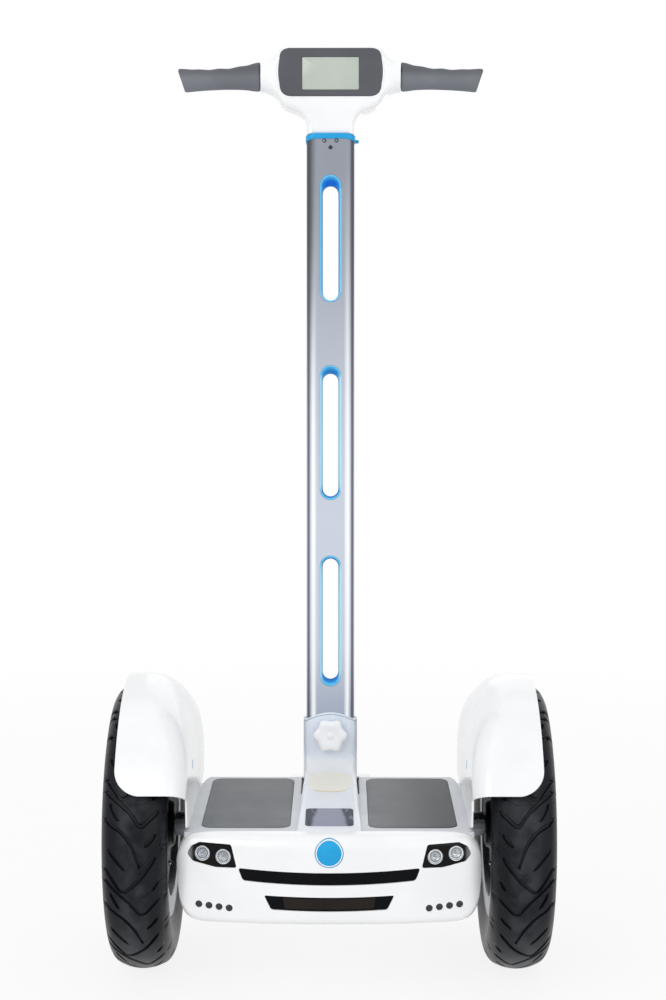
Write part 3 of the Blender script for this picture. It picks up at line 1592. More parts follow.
@dataclass
class Fascia(Assembly):
    """The rear cover with its grilles, badge, lamps and sensors."""

    lamps: tuple[Flat, Flat] = LampChrome.middles
    lamp_radius: float = 11.1
    badge_height: float = 226.5
    badge_radius: float = 20.3
    sensor_radius: float = 4.7
    sensors: tuple[Flat, ...] = tuple((142.6 + 14.6 * i, 143.6 + 1.05 * i) for i in range(4))
    upper: Band = Band("upper_grille", 129.5, 7.0, 17.4, 198.0, 4.5, 6.6)
    lower: Band = Band("lower_grille", 92.3, 10.0, 19.8, 162.3, 1.8, 5.6)
    panel: Band = Band("lower_grille_panel", 66.0, 3.0, 15.5, 160.4, 1.0, 3.0)
    housing: tuple[tuple[float, float, float], ...] = (
        (132.0, 203.0, 3.0), (161.8, 202.6, 12.0), (194.5, 209.5, 8.0), (203.0, 220.0, 7.0),
        (196.6, 231.2, 7.0), (185.2, 237.0, 9.0), (139.8, 235.8, 4.0),
    )

    def housing_outline(self, gap: float) -> Outline:
        """The lamp housing's outline.

        Args:
            gap: How far it is grown.

        Returns:
            The outline.
        """
        points = [(x, z) for x, z, _ in self.housing]
        grown = inset(points, -gap) if gap else points
        return round_corners(grown, [r + gap for _, _, r in self.housing])

    def slab(self, name: str, outline: Outline, depths: Flat, place: Matrix = CHASSIS) -> Piece:
        """A piece of the fascia's skin between two depths under its face.

        Args:
            name: The piece's name.
            outline: Its outline.
            depths: Where it starts and ends under the face.
            place: Its frame.

        Returns:
            The piece.
        """
        piece = Piece(name, FASCIA.through(outline), place)
        piece.cut(FASCIA.body(depths[0]), way=Cut.KEEP)
        return piece.cut(FASCIA.body(depths[1], behind=20.0))

    def build_shell(self) -> None:
        """The white shell with its pockets."""
        shell = Piece("rear_fascia_shell", FASCIA.body(), CHASSIS)
        shell.cut(FASCIA.body(3.5, behind=8.0))
        holes = FASCIA.through(self.housing_outline(0.4))
        for place in self.sensors:
            holes.add(FASCIA.through(circle(self.sensor_radius + 0.35, place, 28)))
        badge = circle(self.badge_radius + 0.3, (0.0, self.badge_height), 64)
        lines = (self.upper.outline(0.4), self.lower.outline(0.4), badge)
        shell.cut(
            holes, holes.mirrored(), *(FASCIA.through(line) for line in lines),
            plate(rectangle((-208.8, 208.8), (-166.8, 0.0)), (238.2, 262.0), Axis.Z),
        )
        shell.soften(0.7, 2, 38.0).dress(Finishes.body, "chassis", "rear_fascia")

    def build_grilles(self) -> None:
        """The two dark bands, the lower one with its own inner panel."""
        for band in (self.upper, self.lower):
            grille = self.slab(f"{band.name}_band", band.outline(), (1.6, 7.0))
            grille.soften(0.5).dress(Finishes.grille, "chassis", band.name)
        panel = self.slab(self.panel.name, self.panel.outline(), (1.1, 4.0))
        panel.soften(0.4).dress(Finishes.grille_panel, "chassis")

    def build_badge(self) -> None:
        """A bare round badge on the curved face: blue rim, white ring, blue disc."""
        middle, radius = (0.0, self.badge_height), self.badge_radius
        for name, outer, inner, shallow, finish, *replaced in (
                ("badge_rim", radius, radius - 1.0, 0.1, Finishes.blue),
                ("badge_ring", radius - 1.05, radius - 2.6, 0.05, Finishes.body),
                ("badge_blue_disc", radius - 2.65, 0.0, 0.1, Finishes.blue, "badge_disc")):
            piece = self.slab(name, circle(outer, middle, 96), (shallow, 4.5))
            if inner:
                piece.cut(FASCIA.through(circle(inner, middle, 96)))
            piece.soften(0.2).dress(finish, "chassis", *replaced)

    def build_lamp(self, name: str, place: Flat, side: Side) -> None:
        """A round lamp: chrome rings, a faceted bowl, a die in its middle and a glass.

        Args:
            name: Its name in its housing.
            place: Its middle across and up.
            side: The side that it is on.
        """
        x, z = place
        slope = (FASCIA.face(x + 4, z) - FASCIA.face(x - 4, z)) / 8
        at = side.of(CHASSIS) @ Matrix.Translation((x, FASCIA.face(x, z), z))
        at = at @ Matrix.Rotation(math.atan(slope) * 0.75, 4, "Z")
        node, name, r = f"{name}_lamp_{side.word}", f"{side.word}_{name}_lamp", self.lamp_radius
        edge = [(5.0, r), (-0.2, r), (-0.7, r - 0.5), (-0.6, r - 1.1), (0.6, r - 1.7),
                (0.7, r - 2.2), (0.1, r - 2.6), (0.2, r - 3.1), (1.6, r - 3.6), (5.0, r - 3.6)]
        ring = Piece(f"{name}_ring", turned(round_corners(edge, 0.2, 3), 56, Axis.Y), at)
        ring.dress(Finishes.chrome, "chassis", node)
        count, rings = 16, []
        for depth, radius in ((1.7, r - 3.5), (3.0, r - 4.6), (4.2, r - 6.2), (4.8, 2.4)):
            start = TURN * (len(rings) % 2) / 2 / count
            rings.append(Axis.Y.ring(arc(radius, start, TURN, count)[:-1], depth))
        back = [[p + Vector((0, 1.2, 0)) for p in ring] for ring in reversed(rings)]
        bowl = Piece(f"{name}_bowl", skin(rings + back, capped=False), at, 12.0)
        bowl.dress(Finishes.chrome, "chassis")
        die = [(4.4, 0.01)] + [(4.4 - 1.84 * v, 2.3 * u) for u, v in arc(1.0, 0.0, QUARTER, 6)]
        Piece(f"{name}_die", turned(die, 20, Axis.Y), at).dress(Finishes.glow, "chassis")
        pane = r - 3.7
        glass = [(1.2, 0.01), (1.5, pane), (0.9, pane), (0.5, pane * 0.6), (0.3, 0.01)]
        Piece(f"{name}_glass", turned(glass, 40, Axis.Y), at).dress(Finishes.lens, "chassis")

    def build_housing(self, side: Side) -> None:
        """The black lamp housing with two round recesses, and its lamps.

        Args:
            side: The side that it is on.
        """
        place, word = side.of(CHASSIS), side.word
        outline = self.housing_outline(0.0)
        panel = self.slab(f"{word}_lamp_housing_panel", outline, (0.6, 7.0), place)
        holes = Form()
        for lamp in self.lamps:
            holes.add(FASCIA.through(circle(self.lamp_radius + 0.25, lamp, 48)))
        panel.cut(holes).soften(0.6)
        panel.dress(Finishes.housing, "chassis", f"lamp_housing_{word}")
        for name, lamp in zip(("inner", "outer"), self.lamps):
            self.build_lamp(name, lamp, side)

    def build_sensors(self, side: Side) -> None:
        """Four round sensors with a domed face, on the bar behind the shell.

        Args:
            side: The side that they are on.
        """
        form, r = Form(), self.sensor_radius
        dome = [(3.6, 0.01), (3.6, r), (0.7, r), (0.2, r - 0.5), (0.5, r - 1.0), (0.2, r - 1.5),
                (-0.1, r * 0.35), (-0.1, 0.01)]
        for x, z in self.sensors:
            face = FASCIA.face(x, z)
            form.add(turned([(face + along, radius) for along, radius in dome], 32, Axis.Y, (x, z)))
        faces = Piece(f"{side.word}_sensor_faces", form, side.of(CHASSIS))
        faces.dress(Finishes.sensor, "chassis")

    def build(self) -> None:
        """Builds the shell and everything set in it."""
        self.build_shell()
        self.build_grilles()
        self.build_badge()
        for side in Side:
            self.build_housing(side)
            self.build_sensors(side)


@dataclass
class Chassis(Assembly):
    """Belly, nose, deck, foot mats and the parts inside."""

    half: float = 208.0
    near: float = -166.0
    far: float = 150.0
    thickness: float = 10.0
    mat_across: Flat = (57.0, 185.0)
    mat_along: Flat = (-145.0, 137.0)
    mat_corner: float = 16.0
    mat_height: Flat = (244.0, 250.0)
    mat_middle: Flat = (121.0, -4.0)
    opening: Flat = (45.2, 160.0)
    belly_half: float = 205.0
    belly_corner: float = 26.0
    bottom: float = 119.0
    screw: tuple[Flat, ...] = (
        (120.3, 0.01), (120.3, 4.5), (119.3, 4.5), (118.95, 3.8), (118.95, 1.6), (119.6, 1.3),
        (119.6, 0.01),
    )

    def mat_outline(self, gap: float) -> Outline:
        """The right mat's outline, grown by a gap."""
        u, v = ((low - gap, high + gap) for low, high in (self.mat_across, self.mat_along))
        return rectangle(u, v, self.mat_corner + gap, 12)

    def build_deck(self) -> None:
        """The deck plate with its mat pockets and the slots in its middle."""
        half = self.half
        right = [(half, self.near), (half, 50.0), (half - 11.0, 133.0), (half - 17.0, self.far)]
        corners = right + [(-x, y) for x, y in reversed(right)]
        outline = round_corners(corners, [2, 30, 10, 4, 4, 10, 30, 2])
        pocket = plate(self.mat_outline(0.5), (241.5, 260.0), Axis.Z)
        peg = plate(circle(7.5, self.mat_middle, 32), (230.0, 245.0), Axis.Z)
        deck = plate(outline, (DECK_TOP - self.thickness, DECK_TOP), Axis.Z)
        Piece("deck_plate", deck, CHASSIS).cut(
            pocket, peg, pocket.mirrored(), peg.mirrored(),
            plate(rectangle((-34.0, 34.0), (-150.0, self.opening[0])), (230.0, 260.0), Axis.Z),
            plate(rectangle((-45.5, 45.5), self.opening), (243.6, 261.0), Axis.Z),
            plate(rectangle((-44.6, 44.6), self.opening), (229.0, 261.0), Axis.Z),
        ).soften(0.8, 3).dress(Finishes.deck, "chassis", "deck_cover")

    def build_mat(self, side: Side) -> None:
        """A foot mat with a rounded rim and the peg that presses its switch.

        Args:
            side: The side that it is on.
        """
        low = self.mat_height[0]
        mat = plate(self.mat_outline(0.0), self.mat_height, Axis.Z, 1.7, 5)
        mat.add(plate(circle(6.0, self.mat_middle, 32), (low - 3.0, low + 0.5), Axis.Z))
        pad = Piece(f"{side.word}_mat_pad", mat, side.of(CHASSIS))
        pad.dress(Finishes.mat, f"mat_{side.word}", f"foot_mat_{side.word}")

    def belly(self, drop: float, top: float, span: Flat) -> Form:
        """A trough with round lower corners.

        Args:
            drop: How far it is taken in.
            top: The height of its upper edges.
            span: Where it starts and ends along Y.

        Returns:
            The form.
        """
        half, low, corner = self.belly_half - drop, self.bottom + drop, self.belly_corner - drop
        line = [(half, top), (-half, top)]
        for middle, start in ((corner - half, math.pi), (half - corner, 1.5 * math.pi)):
            line += arc(corner, start, QUARTER, 10, (middle, low + corner))
        return skin([Axis.Y.ring(line, y) for y in span])

    def build_belly(self) -> None:
        """The pan under the deck, and the screws of its floor."""
        axle = plate(circle(18.3, (0.0, AXLE_HEIGHT), 48), (-220.0, 220.0), Axis.X)
        shell = Piece("belly_shell", self.belly(0.0, 238.2, (-156.0, 152.0)), CHASSIS)
        shell.cut(self.belly(3.0, 250.0, (-170.0, 170.0)), axle).soften(0.8)
        shell.dress(Finishes.body, "chassis", "belly_pan")
        screws = Form()
        for x in (-170.0, -60.0, 60.0, 170.0):
            for y in (-135.0, 130.0):
                screws.add(turned(self.screw, 24, Axis.Z, (x, y)))
        Piece("belly_screws", screws, CHASSIS).dress(Finishes.steel, "chassis")

    def build_nose(self) -> None:
        """The front cover with the small hood over the rear pivot."""
        roof = plate(rectangle((-63.4, 63.4), (150.6, 203.3), 9.0), (150.0, 241.3), Axis.Z, 3.0)
        hood = plate(rectangle((-28.0, 28.0), (180.0, 203.3), 7.0), (215.0, 254.0), Axis.Z, 4.0)
        shell = Piece("nose_shell", NOSE.body(), CHASSIS).cut(NOSE.body(3.0, behind=8.0))
        shell.cut(roof, way=Cut.JOIN).cut(hood, way=Cut.JOIN)
        shell.cut(
            plate(rectangle((-25.0, 25.0), (0.0, 200.3)), (150.0, 251.0), Axis.Z),
            plate(rectangle((-60.3, 60.3), (0.0, 200.3)), (149.7, 238.5), Axis.Z),
            plate(rectangle((-45.9, 45.9), (0.0, 181.5)), (148.0, 262.0), Axis.Z),
        )
        shell.soften(0.8).dress(Finishes.body, "chassis", "nose_cover")

    def dress_inside(self) -> None:
        """Gives the CAD nodes that stay their finishes and softer edges."""
        kept = (
            (Finishes.winding, ("stator_right", "stator_left")),
            (Finishes.steel, ("axle_right", "axle_left", "steering_pin_front",
                              "steering_pin_rear", "clamp_screw", "handlebar_tube")),
            (Finishes.inner_frame, ("chassis_frame",)),
            (Finishes.switch, ("foot_switch_right", "foot_switch_left", "status_display")),
            (Finishes.battery, ("battery_pack",)),
            (Finishes.circuit, ("control_board", "motor_driver_board", "display_board")),
            (Finishes.sensor, ("sensor_bar_right", "sensor_bar_left")),
            (Finishes.bush, ("torsion_bush_front", "torsion_bush_rear")),
        )
        for finish, names in kept:
            for name in names:
                finish.give(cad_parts[name])
                bevel(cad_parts[name], 0.4, 1, 40.0)
                log.info("%s: CAD node in %s", name, finish.name)

    def build(self) -> None:
        """Builds the covers and dresses what lies inside."""
        self.build_deck()
        self.build_belly()
        self.build_nose()
        for side in Side:
            self.build_mat(side)
        self.dress_inside()


@dataclass(frozen=True)
class Leaf:
    """The pale inlay that crosses from the tunnel onto the steering foot."""

    middle: float = 60.5
    reach: float = 47.0
    half: float = 35.4
    power: float = 2.6
    proud: float = 0.25
    sunk: float = 0.8

    def form(self, span: Flat, height: Callable[[float], float], trim: float = 0.0,
             width: float = 1.0) -> Form:
        """The part of it between two places along Y.

        Args:
            span: Where the part may start and end.
            height: The height of the surface below at a place along Y.
            trim: If not 0, only a line of this width along its near edge.
            width: The share of its width that is built.

        Returns:
            The form.
        """
        low, high = span
        rings = []
        for i in range(49):
            share = width * math.sin(QUARTER * (i / 24 - 1))
            reach = self.reach * max(0.0, 1 - abs(share) ** self.power) ** (1 / self.power)
            near, far = self.middle - reach, self.middle + reach
            if trim:
                near, far = near - trim, near - 0.1
            start = min(max(near, low), high - 0.3)
            end = max(min(far, high), start + 0.1)
            rows = [mix(start, end, k / 20) for k in range(21)]
            line = [(y, height(y) + self.proud) for y in rows]
            line += [(y, height(y) - self.sunk) for y in reversed(rows)]
            rings.append(Axis.X.ring(line, self.half * share))
        return skin(rings)


LEAF = Leaf()


@dataclass
class Tunnel(Assembly):
    """The fairing between the mats, with the window over the status display."""

    near: float = -165.5
    far: float = 45.2
    halves: Flat = (46.5, 42.4)
    tops: tuple[Flat, ...] = ((-165.5, 252.0), (-65.0, 256.0), (20.0, 261.0), (45.2, 263.3))
    bottom: float = 248.8
    edge: float = 7.0
    pane_half: float = 34.8
    pane: Flat = (-150.0, -65.0)
    leaf: Flat = (0.0, 45.05)

    def top(self, y: float) -> float:
        """The height of its ridge at a place along."""
        return read_table(self.tops, y)

    def body(self, drop: float, bottom: float) -> Form:
        """The fairing as a solid.

        Args:
            drop: How far it is taken in.
            bottom: The height of its underside.

        Returns:
            The form.
        """
        rings = []
        for i in range(61):
            y = mix(self.near + drop, self.far, i / 60)
            half = mix(*self.halves, (y - self.near) / (self.far - self.near)) - drop
            top = self.top(y) - drop
            edge = max(0.4, min(self.edge, (top - self.bottom) * 0.8, half))
            top -= 2.2 * (1 - min(1.0, (y - self.near - drop) / 5.0)) ** 2
            edge = min(edge, (top - self.bottom) * 0.8)
            line = [(-half, bottom), (half, bottom)] + shoulders(half, top, edge)
            rings.append(Axis.Y.ring(line, y))
        return skin(rings)

    def pane_outline(self, gap: float) -> Outline:
        """The window's outline, grown by a gap."""
        half, (near, far) = self.pane_half + gap, self.pane
        return rectangle((-half, half), (near - gap, far + gap), 7.0 + gap, 10)

    def build(self) -> None:
        """Builds the fairing, the smoked window, the leaf and its line."""
        fairing = Piece("tunnel_fairing", self.body(0.0, self.bottom), CHASSIS)
        fairing.cut(plate(self.pane_outline(0.3), (230.0, 270.0), Axis.Z)).soften(0.5, 2, 40.0)
        fairing.dress(Finishes.tunnel, "chassis", "tunnel_cover")
        pane = plate(self.pane_outline(0.0), (249.0, 264.0), Axis.Z)
        window = Piece("tunnel_window_pane", pane, CHASSIS)
        window.cut(self.body(0.4, 240.0), way=Cut.KEEP).cut(self.body(2.9, 230.0)).soften(0.4)
        window.dress(Finishes.smoke, "chassis", "tunnel_window")
        leaf = Piece("tunnel_cream_leaf", LEAF.form(self.leaf, self.top, width=0.975), CHASSIS)
        leaf.dress(Finishes.cream, "chassis")
        line = Piece("tunnel_amber_line", LEAF.form(self.leaf, self.top, 1.7, 0.7), CHASSIS)
        line.dress(Finishes.amber, "chassis")


@dataclass
class Steering(Assembly):
    """The sleeve that rocks in the chassis, and the clamp knob on it."""

    half: float = 42.4
    half_depth: float = 27.4
    corner: float = 15.0
    rim: tuple[Flat, ...] = ((15.0, 105.2), (30.0, 99.3), (42.4, 94.0))
    rim_top: float = 107.0
    near: float = 46.0
    far: float = 180.0
    foot_tops: Flat = (263.5, 265.2)
    foot_half: float = 42.25
    toe_half: float = 38.6
    pivot_height: float = 236.0
    pivot_bore: float = 6.3
    bend: Flat = (98.0, 126.3)
    bend_top: float = 291.0
    back_start: float = 152.0
    back_top: float = 244.0
    knob_height: float = 72.0
    knob_radius: float = 27.0
    knob_span: Flat = (-47.7, -32.7)
    lobes: int = 6
    lobe_depth: float = 4.5

    def ridge(self, y: float) -> float:
        """The height of the foot's top line: nearly flat, then a sweep up the sleeve's face.

        Args:
            y: The place along.

        Returns:
            The height.
        """
        start, end = self.bend
        if y <= start:
            return mix(*self.foot_tops, (y - self.near) / (start - self.near))
        if y <= end:
            share = (y - start) / (end - start)
            return mix(self.foot_tops[1], self.bend_top, 1 - math.sqrt(1 - share * share))
        back = max(0.0, (y - self.back_start) / (self.far - self.back_start))
        return mix(self.bend_top, self.back_top, back)

    def foot(self) -> Form:
        """The foot: a half round trough bottom with a swept top.

        Returns:
            The form.
        """
        (start, end), half = self.bend, self.foot_half
        places = [mix(self.near, start, i / 24) for i in range(24)]
        places += [mix(start, end, math.sin(QUARTER * i / 16)) for i in range(17)]
        places += [mix(end, self.far, (i + 1) / 16) for i in range(16)]
        side, rings = self.pivot_height + 11.5, []
        for y in places:
            top = self.ridge(y)
            toe = mix(half, self.toe_half, eased(self.near, 118.0, y))
            line = [(half, side)] + shoulders(toe, top, min(6.0, (top - self.pivot_height) * 0.6))
            line += [(-half, side)] + arc(half, math.pi, math.pi, 24, (0.0, self.pivot_height))
            rings.append(Axis.Y.ring(line, y))
        return skin(rings)

    def build_sleeve(self) -> None:
        """The sleeve with its arched top and swept foot."""
        section = rectangle((-self.half, self.half), (-self.half_depth, self.half_depth),
                            self.corner, 10)
        tube = skin([Axis.Z.ring(section, mix(-29.0, 120.0, i / 39)) for i in range(40)])
        left = [(-x, s) for x, s in reversed(self.rim)]
        low = self.rim[-1][1] - 6.0
        top = [(-60.0, low)] + smooth_path(left + [(0.0, self.rim_top)] + list(self.rim), 6)
        top += [(60.0, low), (60.0, 140.0), (-60.0, 140.0)]
        sleeve = Piece("sleeve_shell", tube, COLUMN).cut(plate(top, (-60.0, 60.0), Axis.Y))
        sleeve.cut(self.foot(), way=Cut.JOIN, place=CHASSIS)
        bore = plate(rectangle((-38.35, 38.35), (-22.4, 22.4), 13.5, 10), (-24.5, 130.0), Axis.Z)
        sleeve.cut(bore, plate(circle(4.3, (0.0, self.knob_height), 24), (-60.0, 0.0), Axis.Y))
        pin = circle(self.pivot_bore, (0.0, self.pivot_height), 32)
        sleeve.cut(*(plate(pin, span, Axis.Y) for span in ((38.0, 62.3), (177.7, 188.0))),
                   place=CHASSIS)
        sleeve.soften(1.1, 3, 40.0).dress(Finishes.sleeve, "steering", "column_sleeve")

    def knob_outline(self, grow: float) -> Outline:
        """The knob's outline: its lobes at the rim, and a plain round near its middle.

        Args:
            grow: How far it is grown, or shrunk.

        Returns:
            The outline.
        """
        radius, middle, count = self.knob_radius + grow, (0.0, self.knob_height), 120
        keep, result = eased(-20.0, -4.0, grow), []
        for i, (x, z) in enumerate(circle(radius, middle, count)):
            dent = self.lobe_depth * (1 - math.cos(self.lobes * TURN * i / count)) / 2
            share = 1 - keep * dent / radius
            result.append((x * share, self.knob_height + (z - self.knob_height) * share))
        return result

    def build_knob(self) -> None:
        """The clamp knob: lobes, a rounded rim, a dished face and a centre cap."""
        near, back = self.knob_span
        levels = (
            (near + 0.9, -21.0), (near + 1.0, -17.0), (near + 0.2, -13.0), (near, -8.0),
            (near + 0.5, -4.0), (near + 1.7, -1.6), (near + 3.2, -0.5), (near + 5.0, 0.0),
            (back - 3.0, 0.0), (back - 1.2, -0.6), (back, -2.6), (back, -14.0),
        )
        hub = [(back - 2.0, 0.01), (back - 2.0, 10.0), (back + 5.0, 10.0), (back + 5.0, 4.5),
               (back - 1.0, 4.5), (back - 1.0, 0.01)]
        cap = [(near + 2.0, 0.01), (near + 2.0, 5.2), (near + 0.5, 5.2), (near + 0.1, 4.6),
               (near + 0.05, 0.01)]
        knob = skin([Axis.Y.ring(self.knob_outline(grow), along) for along, grow in levels])
        for profile in (hub, cap):
            knob.add(turned(profile, 32, Axis.Y, (0.0, self.knob_height)))
        Piece("clamp_knob_star", knob, COLUMN).dress(Finishes.knob, "clamp", "clamp_knob")

    def build(self) -> None:
        """Builds the sleeve, the part of the leaf on its foot, and the knob."""
        self.build_sleeve()
        leaf = LEAF.form((46.15, LEAF.middle + LEAF.reach), self.ridge)
        Piece("foot_cream_leaf", leaf, CHASSIS).dress(Finishes.cream, "steering")
        self.build_knob()


@dataclass(frozen=True)
class Slot:
    """A slot through the column, by the height of its ends.

    Args:
        name: Its place in the row of slots.
        foot: The height of its lower end.
        crown: The height of its upper end.
        foot_draw: How far its wall draws in at the lower end.
        top_draw: How far its wall draws in at the upper end.
    """

    name: str
    foot: float
    crown: float
    foot_draw: float
    top_draw: float

    @property
    def middle(self) -> float:
        """The height of its middle up the column."""
        return (self.foot + self.crown) / 2

    @property
    def length(self) -> float:
        """Its length from end to end."""
        return self.crown - self.foot


def arch(x: float, rise: float) -> float:
    """How far an edge of the collar stands above its ends at a place across."""
    return rise * (1 - min(1.0, abs(x) / 39.3) ** 2)


@dataclass
class Column(Assembly):
    """The column with its three framed slots and the small screws under the collar."""

    half: float = 37.85
    half_depth: float = 21.9
    corner: float = 13.0
    bottom: float = -24.0
    slots: tuple[Slot, ...] = (
        Slot("lower", 147.9, 354.4, foot_draw=7.5, top_draw=6.5),
        Slot("middle", 442.8, 655.0, foot_draw=4.8, top_draw=11.7),
        Slot("upper", 754.6, 954.6, foot_draw=5.6, top_draw=12.9),
    )
    slot_width: float = 33.0
    collar: Flat = (1007.2, 1017.2)
    collar_rise: Flat = (7.2, 4.5)
    screws: tuple[Flat, ...] = ((-9.6, 1008.2), (9.4, 1008.5), (0.0, 997.6))
    screw_ring: tuple[Flat, ...] = (
        (-21.4, 0.01), (-21.4, 3.3), (-22.0, 3.3), (-22.3, 2.9), (-22.3, 2.0), (-21.9, 1.8),
        (-21.9, 0.01),
    )
    screw_middle: tuple[Flat, ...] = (
        (-21.5, 0.01), (-21.5, 1.7), (-22.2, 1.6), (-22.4, 0.9), (-22.4, 0.01),
    )

    def section(self, grow: float) -> Outline:
        """The column's section, grown or shrunk."""
        half, depth = self.half + grow, self.half_depth + grow
        return rectangle((-half, half), (-depth, depth), self.corner + grow, 12)

    def build_frame(self, slot: Slot) -> None:
        """One slot's frame: a pale lip and a wall that draws in behind it.

        Args:
            slot: The slot to frame.
        """
        width, length, middle = self.slot_width, slot.length, slot.middle
        outer = capsule(width, length, middle)
        lip = capsule(width - 4.4, length - 4.4, middle)
        front = walled(outer, lip, (-22.3, -18.0), Axis.Y, 0.45)
        front.add(walled(outer, lip, (18.0, 22.3), Axis.Y, 0.45))
        piece = Piece(f"{slot.name}_slot_lip", front, COLUMN, smooth=50.0)
        piece.dress(Finishes.slot_lip, "column", f"slot_liner_{slot.name}")
        near = capsule(width - 4.8, length - 5.6, middle)
        drawn = length - slot.foot_draw - slot.top_draw
        shifted = middle + (slot.foot_draw - slot.top_draw) / 2
        inner = capsule(width - 5.2, drawn + 3.0, shifted)
        far = capsule(width - 8.0, drawn, shifted)
        levels = (
            (outer, -18.6), (outer, 18.6), (lip, 18.6), (far, 17.0), (inner, 11.0), (near, -17.6),
            (lip, -18.6),
        )
        wall = looped([Axis.Y.ring(inset(line, 0.02), depth) for line, depth in levels])
        piece = Piece(f"{slot.name}_slot_wall", wall, COLUMN, smooth=50.0)
        piece.dress(Finishes.slot_wall, "column")

    def build(self) -> None:
        """Builds the tube, the slot frames, the collar and the screws."""
        low, high = self.collar
        tube = plate(self.section(0.0), (self.bottom, low + 9), Axis.Z)
        hollow = plate(self.section(-3.0), (self.bottom - 9, low + 19), Axis.Z)
        across = [2.0 * i - 40.0 for i in range(41)]
        crest = [(x, low - 0.1 + arch(x, self.collar_rise[0])) for x in across]
        above = plate(crest + [(60.0, low + 30), (-60.0, low + 30)], (-30.0, 30.0), Axis.Y)
        width = self.slot_width + 0.6
        holes = [
            plate(capsule(width, slot.length + 0.6, slot.middle), (-30.0, 30.0), Axis.Y)
            for slot in self.slots
        ]
        piece = Piece("column_extrusion", tube, COLUMN).cut(hollow, above, *holes).soften(0.35)
        piece.dress(Finishes.column, "column", "column_tube")
        for slot in self.slots:
            self.build_frame(slot)
        collar = walled(self.section(1.4), self.section(-3.6), self.collar, Axis.Z, 0.8)
        for p in collar.points:
            p.z += arch(p.x, mix(*self.collar_rise, (p.z - low) / (high - low)))
        tab = plate(rectangle((36.0, 44.75), (-2.5, 2.5), 1.2), (low + 0.2, low + 5.2), Axis.Z, 0.7)
        piece = Piece("collar_ring", collar.add(tab), COLUMN, smooth=50.0)
        piece.dress(Finishes.blue, "column", "column_collar")
        rings, middles = Form(), Form()
        for spot in self.screws:
            rings.add(turned(self.screw_ring, 28, Axis.Y, spot))
        for spot in self.screws[:2]:
            middles.add(turned(self.screw_middle, 20, Axis.Y, spot))
        Piece("screw_middles", middles, COLUMN).dress(Finishes.steel, "column")
        Piece("column_screws", rings, COLUMN).dress(Finishes.dark_steel, "column")


